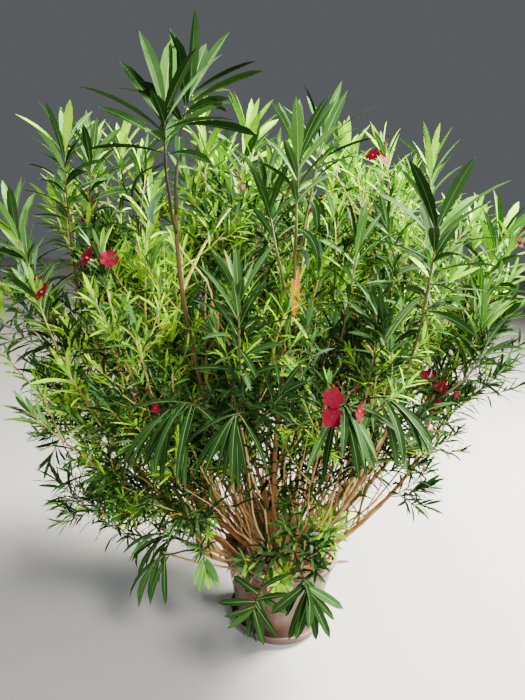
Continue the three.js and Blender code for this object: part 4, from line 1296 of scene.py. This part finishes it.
class OLEANDER_OT_litter(Operator):
    """Scatter dry curled leaves over the soil and over the rim, and dry twigs between the canes"""
    bl_idname = "oleander.litter"
    bl_label = "Leaf litter"

    def execute(self, context):
        growth = context.scene.oleander_growth
        random = np.random.default_rng(growth.seed + 5)
        leaves = np.concatenate([self.fallen(growth.litter, random),
                                 self.over_rim(LEAVES_OVER_RIM, random)])
        rib = leaf_finish("litter_rib", (0.60, 0.46, 0.32), roughness=0.8)
        pairs = [(leaf_finish(name, colour, roughness=0.78), rib)
                 for name, colour, _ in LITTER_TONES]
        dress(leaf_piece("leaf_litter", leaves, pairs), "soil")
        twigs = self.twigs(growth.dry_twigs, random)
        points, faces, _ = tubes(twigs, steps=8, sides=6)
        bark = bark_finish("dry_twig", (0.46, 0.25, 0.12), (0.56, 0.40, 0.26), (0.46, 0.32, 0.17))
        dress(mesh_piece("dry_twigs", points, faces, [bark]), "bark")
        return {"FINISHED"}

    def fallen(self, count, random):
        """Leaves strewn evenly over the soil's disc and heaped a little towards the middle."""
        sizes = bpy.context.scene.oleander_pot
        radius = (sizes.neck_radius - 0.012) * np.sqrt(random.random(count))
        azimuth = random.uniform(0, 360, count)
        heap = 0.004 + 0.026 * random.random(count) * (1 - (radius / sizes.neck_radius) ** 2)
        heap = heap + 0.012 * random.random(count)
        heading = polar(random.uniform(0, 360, count), 1.0, random.normal(0.05, 0.16, count))
        leaves = self.curled(polar(azimuth, radius, SOIL_TOP + heap), unit(heading), random)
        tips = leaf_tips(leaves)
        inside = np.hypot(tips[:, 0], tips[:, 1]) < sizes.neck_radius - 0.006
        high = tips[:, 2] > sizes.height + 0.004
        return leaves[(inside | high) & (tips[:, 2] > SOIL_TOP)]

    def over_rim(self, count, random):
        """Leaves that lie on the rim and hang over its outside, more of them at the front."""
        sizes = bpy.context.scene.oleander_pot
        azimuth = np.where(random.random(count) < 0.5, random.uniform(225, 285, count),
                           random.uniform(0, 360, count))
        radius = sizes.rim_radius - random.uniform(0.012, 0.030, count)
        root = polar(azimuth, radius, sizes.height + random.uniform(0.004, 0.012, count))
        heading = polar(azimuth + random.normal(0, 28, count), 1.0, 0.18)
        leaves = self.curled(root, unit(heading), random)
        leaves["turning"] = np.radians(random.uniform(70, 115, count))
        leaves["bends_to"] = square_to(DOWN, leaves["direction"])
        leaves["length"] = random.uniform(0.045, 0.075, count)
        return leaves

    def curled(self, root, heading, random):
        """Leaves that head some way, each with a curl, size and tone of its own."""
        return varied_leaves(
            random, root, heading, across(heading, random.uniform(0, math.tau, len(root))),
            length=(0.035, 0.105), broad=(0.13, 0.22), turning=(5, 75), fold=(5, 55), roll=0.5,
            tones=len(LITTER_TONES), shares=[wearing for _, _, wearing in LITTER_TONES])

    def twigs(self, count, random):
        """Bare twigs that lean every way between the canes, a little arched."""
        azimuth = random.uniform(0, 360, count)
        start = polar(azimuth, random.uniform(0.02, 0.15, count), SOIL_TOP + 0.002)
        lean = polar(azimuth + random.normal(0, 60, count), random.uniform(0.1, 0.8, count), 1.0)
        reach = random.uniform(0.10, 0.60, count)[:, None]
        end = start + unit(lean) * reach
        middle = (start + end) / 2 + random.normal(0, 0.07, (count, 3)) * reach
        curves = np.stack([start, middle, end], axis=1)
        keep = clear_of_pot(middle) & clear_of_pot(end)
        return limbs_along(curves[keep], DRY_TWIG_RADII, wander=0.010)


class OLEANDER_OT_canes(Operator):
    """Make the canes with the relief of their bark: rings and leaf scars at the old nodes"""
    bl_idname = "oleander.canes"
    bl_label = "Canes"

    def execute(self, context):
        tints = context.scene.oleander_tints
        curves = [part_of(cane_curve(name), 0, cane[2]) for name, cane in CANES.items()]
        limbs = limbs_along(curves, CANE_RADII)
        lengths = np.array([length_of(curve) for curve in limbs["curve"]])
        points, faces, _ = tubes(limbs, steps=110, sides=16,
                                 relief=lambda t, angle: self.relief(t, angle, lengths))
        bark = bark_finish("cane_bark", tints.bark, tints.pale_bark, tints.stem_dark)
        piece = mesh_piece("canes", points, faces, [bark])
        dress(piece, "bark", *(f"cane_{name}" for name in CANES))
        return {"FINISHED"}

    def relief(self, t, angle, lengths):
        """What the radius is multiplied by: 1, plus a swelling exp(-(distance/4 mm)^2) at each
        node, three leaf scars round it that turn by 60 degrees from node to node, low ridges
        that wander along the cane, and a flare at the foot."""
        along = (t * lengths[:, None])[..., None]
        number = np.arange(len(lengths))[:, None, None]
        gap = 0.043 + 0.011 * np.sin(number * 2.4)
        place = along / gap + 0.37 * number
        node = np.round(place)
        swelling = np.exp(-((place - node) * gap / 0.004) ** 2)
        scars = (0.5 + 0.5 * np.cos(3 * angle + node * math.pi)) ** 4
        wander = np.sin(along * 37 + number) + np.sin(along * 91 + 2 * number)
        ridges = np.sin(4 * angle + 1.3 * wander) + 0.6 * np.sin(7 * angle - wander + along * 60)
        flare = 0.35 * np.exp(-along / 0.012)
        return 1 + swelling * (0.06 + 0.16 * scars) + 0.035 * ridges + 0.03 * wander + flare


class OLEANDER_OT_stems(Operator):
    """Make the green stems and twigs that bear the leaves"""
    bl_idname = "oleander.stems"
    bl_label = "Stems and twigs"

    def execute(self, context):
        limbs, _ = grow(list(CANES))
        thick = limbs["radii"][:, 0] > THICK_STEM
        points, faces, tones = [], [], []
        for chosen, steps, sides in ((thick, 14, 8), (~thick, 5, 4)):
            some, quads, each = tubes(limbs[chosen], steps, sides)
            faces.append(quads + sum(len(part) for part in points))
            points.append(some)
            tones.append(np.repeat(limbs["tone"][chosen], each))
        piece = mesh_piece("stems", np.vstack(points), np.vstack(faces), stem_materials(),
                           np.concatenate(tones))
        dress(piece, "bark")
        return {"FINISHED"}


class OLEANDER_OT_leaves(Operator):
    """Grow the leaves of every shoot, joined into one piece for each side of the plant"""
    bl_idname = "oleander.leaves"
    bl_label = "Leaves"

    def execute(self, context):
        tones = leaf_tone_materials()
        for name, canes in LEAF_PIECES.items():
            _, leaves = grow(canes)
            piece = leaf_piece(name, leaves, tones)
            nodes = [f"foliage_{cane}_{number + 1}" for cane in canes
                     for number in range(len(CANES[cane][3]))]
            dress(piece, "foliage", *nodes)
        return {"FINISHED"}


class OLEANDER_OT_blossoms(Operator):
    """Set crimson blossoms and buds on thin stalks at the shoots' tips"""
    bl_idname = "oleander.blossoms"
    bl_label = "Blossoms and buds"

    def execute(self, context):
        random = np.random.default_rng(context.scene.oleander_growth.seed + 9)
        centres, facings, sizes, stalks = [], [], [], []
        buds = []
        for cane, number, rows in BLOSSOMS:
            tip = shoot_curve(cane, number)[2]
            for place, facing, *size in rows:
                centres.append(tip + place)
                facings.append(unit(np.array(facing)))
                sizes.append(size[0] if size else random.uniform(0.9, 1.04))
                foot = centres[-1] - facings[-1] * TUBE_LENGTH * sizes[-1]
                stalks.append(self.stalk(tip, foot))
            buds += self.bud_spray(tip, BUDS_BY_BLOSSOMS, random)
        for cane, number in BUDDING:
            buds += self.bud_spray(shoot_curve(cane, number)[2], BUDS_ALONE, random)
        self.make_petals(np.array(centres), np.array(facings), np.array(sizes), random)
        self.make_buds(np.array(buds), np.array(stalks))
        return {"FINISHED"}

    def stalk(self, tip, centre):
        """A thin stalk's curve from the shoot's tip, first upwards and then to the blossom."""
        middle = (tip + centre) / 2 + np.array([0, 0, 0.3]) * np.linalg.norm(centre - tip)
        return np.array([tip, middle, centre])

    def bud_spray(self, tip, count, random):
        """Stalks that fan upwards from a tip, each as the curve that its bud goes on along."""
        heading = unit(polar(random.uniform(0, 360, count), random.uniform(0.3, 1.0, count), 1.0))
        end = tip + heading * random.uniform(0.02, 0.045, count)[:, None]
        end = end + np.array([0, 0, 0.008])
        return [self.stalk(tip, place) for place in end]

    def make_petals(self, centres, facings, sizes, random):
        """Each blossom's pale tube, five broad petals and a fringe of ten teeth in the throat,
        all as grids of a distance out, a distance aside and a height over the mouth. Over u
        across and v outwards, a petal reaches out by v (1 - 0.14 u^2 v^2), is
        sin(pi (0.12 + 0.52 v)) wide, and is set like a propeller's blade, so that it overlaps
        the next."""
        tints = bpy.context.scene.oleander_tints
        u, v = np.linspace(-1, 1, 7)[None], np.linspace(0, 1, 8)[:, None]
        long = PETAL_REACH - THROAT_RADIUS
        grids = []
        for k in range(PETALS):
            out = THROAT_RADIUS + long * v * (1 - 0.14 * u ** 2 * v ** 2)
            aside = 0.0112 * np.sin(math.pi * (0.12 + 0.52 * v)) * u + 0.0026 * v
            waves = 0.0014 * np.sin(4 * u + 2.1 * k) * v ** 2
            over = (0.002 + 0.0014 * (k % 3)) * v ** 1.5 + 0.0024 * u * v + waves
            grids.append((k * math.tau / PETALS, out, aside, over, np.zeros(7, bool)))
        turns = np.linspace(0, math.tau, 9)[None]
        radius = TUBE_RADIUS + (THROAT_RADIUS + 0.0006 - TUBE_RADIUS) * v ** 1.6
        grids.append((0.0, radius * np.cos(turns), radius * np.sin(turns),
                      TUBE_LENGTH * (v - 1) + 0 * turns, np.ones(7, bool)))
        for k in range(THROAT_TEETH):
            out = THROAT_RADIUS * (1 - 0.1 * v) + 0 * u[:, :3]
            aside = 0.0009 * (1 - 0.8 * v) * np.linspace(-1, 1, 3)[None]
            over = (0.0030 + 0.0014 * (k % 2)) * v + 0 * aside
            grids.append((k * math.tau / THROAT_TEETH, out, aside, over, np.ones(7, bool)))
        size = sizes[:, None, None]
        first = across(facings, random.uniform(0, math.tau, len(centres)))
        second = np.cross(facings, first)
        points, faces, which, start = [], [], [], 0
        for turn, out, aside, over, pale in grids:
            x = (out * math.cos(turn) - aside * math.sin(turn)) * size
            y = (out * math.sin(turn) + aside * math.cos(turn)) * size
            placed = (centres[:, None, None] + x[..., None] * first[:, None, None]
                      + y[..., None] * second[:, None, None]
                      + (over * size)[..., None] * facings[:, None, None])
            rows, columns = placed.shape[1:3]
            faces.append(repeated(grid_faces(rows, columns), len(centres), rows * columns) + start)
            which.append(np.tile(np.repeat(pale, columns - 1), len(centres)).astype(int))
            points.append(placed.reshape(-1, 3))
            start += len(points[-1])
        piece = mesh_piece("blossoms", np.vstack(points), np.vstack(faces),
                           [petal_finish("petal_crimson", tints.petal),
                            petal_finish("petal_eye", tints.eye)], np.concatenate(which))
        dress(piece, "petals")

    def make_buds(self, bud_stalks, blossom_stalks):
        """Buds are spindles that go on from their stalks: radius sin(pi t)^0.7 along their
        length, with a green foot. Stalks are thin tubes."""
        tints = bpy.context.scene.oleander_tints
        heading = unit(bud_stalks[:, 2] - bud_stalks[:, 1])
        end = bud_stalks[:, 2] + heading * BUD_LENGTH
        curves = np.stack([bud_stalks[:, 2], (bud_stalks[:, 2] + end) / 2 + 1e-5, end], axis=1)
        buds = limbs_along(curves, BUD_RADII)
        sides = 8
        points, faces, each = tubes(buds, steps=9, sides=sides, relief=lambda t, angle: (
            0.12 + 0.88 * np.sin(math.pi * np.clip(t, 0.03, 0.97)) ** 0.7)[None, :, None])
        foot = np.zeros(each, int)
        foot[:2 * sides] = 1
        stalks = limbs_along(np.vstack([bud_stalks, blossom_stalks]), STALK_RADII)
        more, quads, other = tubes(stalks, steps=5, sides=6)
        which = np.concatenate([np.tile(foot, len(buds)), np.ones(other * len(stalks), int)])
        piece = mesh_piece("buds", np.vstack([points, more]),
                           np.vstack([faces, quads + len(points)]),
                           [petal_finish("bud_red", opaque(tints.petal, 0.85)[:3]),
                            stem_finish("stalk_green", tints.stem_olive)], which)
        dress(piece, "petals")


# Lamps: where they stand, what they are aimed at, their size and their colour
LAMPS = {"key": ((2.9, 1.1, 3.4), (0.0, 0.0, 0.9), 1.2, (1.0, 0.955, 0.86)),
         "front": ((1.5, -2.6, 3.3), (0.0, -0.2, 0.8), 0.9, (1.0, 0.98, 0.93)),
         "fill": ((-2.3, -2.9, 2.2), (0.0, 0.0, 0.8), 2.4, (0.74, 0.87, 1.0))}
# The photograph's camera: its place, how far it looks down and is rolled, and its focal length
# in millimetres
CAMERA_PLACE = (-0.077, -1.578, 1.30)
CAMERA_PITCH = math.radians(13.74)
CAMERA_ROLL = math.radians(1.68)
CAMERA_LENS = 27.87
FLOOR_REACH = 14.0


class OLEANDER_OT_stage(Operator):
    """Lay the pale floor, hang the soft lights and set up the camera"""
    bl_idname = "oleander.stage"
    bl_label = "Stage"

    def execute(self, context):
        stage = context.scene.oleander_stage
        points = np.array([(-1, -1, 0), (1, -1, 0), (1, 1, 0), (-1, 1, 0)]) * FLOOR_REACH
        finish = Finish("floor")
        speckle = finish.noise(9, 3)
        pale = finish.shades(stage.floor, speckle, 0.98, 1.02)
        floor = mesh_piece("floor", points, np.array([[0, 1, 2, 3]]), [finish.wear(
            Base_Color=pale, Roughness=0.9, Specular_IOR_Level=0.1)])
        for name, lamp in LAMPS.items():
            self.light(f"{name}_light", *lamp, getattr(stage, f"{name}_watts"))
        world = bpy.data.worlds.new("surround")
        world.use_nodes = True
        background = world.node_tree.nodes["Background"]
        background.inputs["Color"].default_value = opaque(stage.surround)
        background.inputs["Strength"].default_value = stage.surround_strength
        context.scene.world = world
        self.camera(context)
        return {"FINISHED"}

    def light(self, name, place, aim, size, colour, watts):
        """A square soft light at a place, turned to what it is aimed at."""
        lamp = bpy.data.lights.new(name, "AREA")
        lamp.size = size
        lamp.energy = watts
        lamp.color = colour
        holder = bpy.data.objects.new(name, lamp)
        holder.location = place
        holder.rotation_euler = (Vector(aim) - Vector(place)).to_track_quat("-Z", "Y").to_euler()
        bpy.context.scene.collection.objects.link(holder)

    def camera(self, context):
        """A camera that looks along +Y and down, rolled about the way it looks."""
        pitch, roll = CAMERA_PITCH, CAMERA_ROLL
        forward = Vector((0, math.cos(pitch), -math.sin(pitch)))
        above = Vector((0, math.sin(pitch), math.cos(pitch)))
        level = Vector((1, 0, 0))
        right = level * math.cos(roll) + above * math.sin(roll)
        up = above * math.cos(roll) - level * math.sin(roll)
        lens = bpy.data.cameras.new("camera")
        lens.lens = CAMERA_LENS
        lens.clip_end = 60
        holder = bpy.data.objects.new("camera", lens)
        turn = Matrix((right, up, -forward)).transposed().to_4x4()
        holder.matrix_world = Matrix.Translation(CAMERA_PLACE) @ turn
        context.scene.collection.objects.link(holder)
        context.scene.camera = holder


OPERATORS = (OLEANDER_OT_pot, OLEANDER_OT_soil, OLEANDER_OT_litter, OLEANDER_OT_canes,
             OLEANDER_OT_stems, OLEANDER_OT_leaves, OLEANDER_OT_blossoms, OLEANDER_OT_stage)
SETTINGS = {"oleander_pot": PotSettings, "oleander_growth": GrowthSettings,
            "oleander_tints": TintSettings, "oleander_stage": StageSettings}


class OLEANDER_PT_parts(Panel):
    """The buttons that make the plant's pieces, and the settings that they read"""
    bl_idname = "OLEANDER_PT_parts"
    bl_label = "Potted oleander"
    bl_space_type = "VIEW_3D"
    bl_region_type = "UI"
    bl_category = "Oleander"

    def draw(self, context):
        column = self.layout.column()
        for operator in OPERATORS:
            column.operator(operator.bl_idname)
        for name, settings in SETTINGS.items():
            box = column.box()
            for key in settings.__annotations__:
                box.prop(getattr(context.scene, name), key)


def register():
    for settings in SETTINGS.values():
        bpy.utils.register_class(settings)
    for name, settings in SETTINGS.items():
        setattr(bpy.types.Scene, name, PointerProperty(type=settings))
    for operator in OPERATORS:
        bpy.utils.register_class(operator)
    bpy.utils.register_class(OLEANDER_PT_parts)


def unregister():
    bpy.utils.unregister_class(OLEANDER_PT_parts)
    for operator in reversed(OPERATORS):
        bpy.utils.unregister_class(operator)
    for name, settings in SETTINGS.items():
        delattr(bpy.types.Scene, name)
        bpy.utils.unregister_class(settings)


def main():
    register()
    bpy.ops.oleander.pot()
    bpy.ops.oleander.soil()
    bpy.ops.oleander.litter()
    bpy.ops.oleander.canes()
    bpy.ops.oleander.stems()
    bpy.ops.oleander.leaves()
    bpy.ops.oleander.blossoms()
    bpy.ops.oleander.stage()


if __name__ == "__main__":
    main()
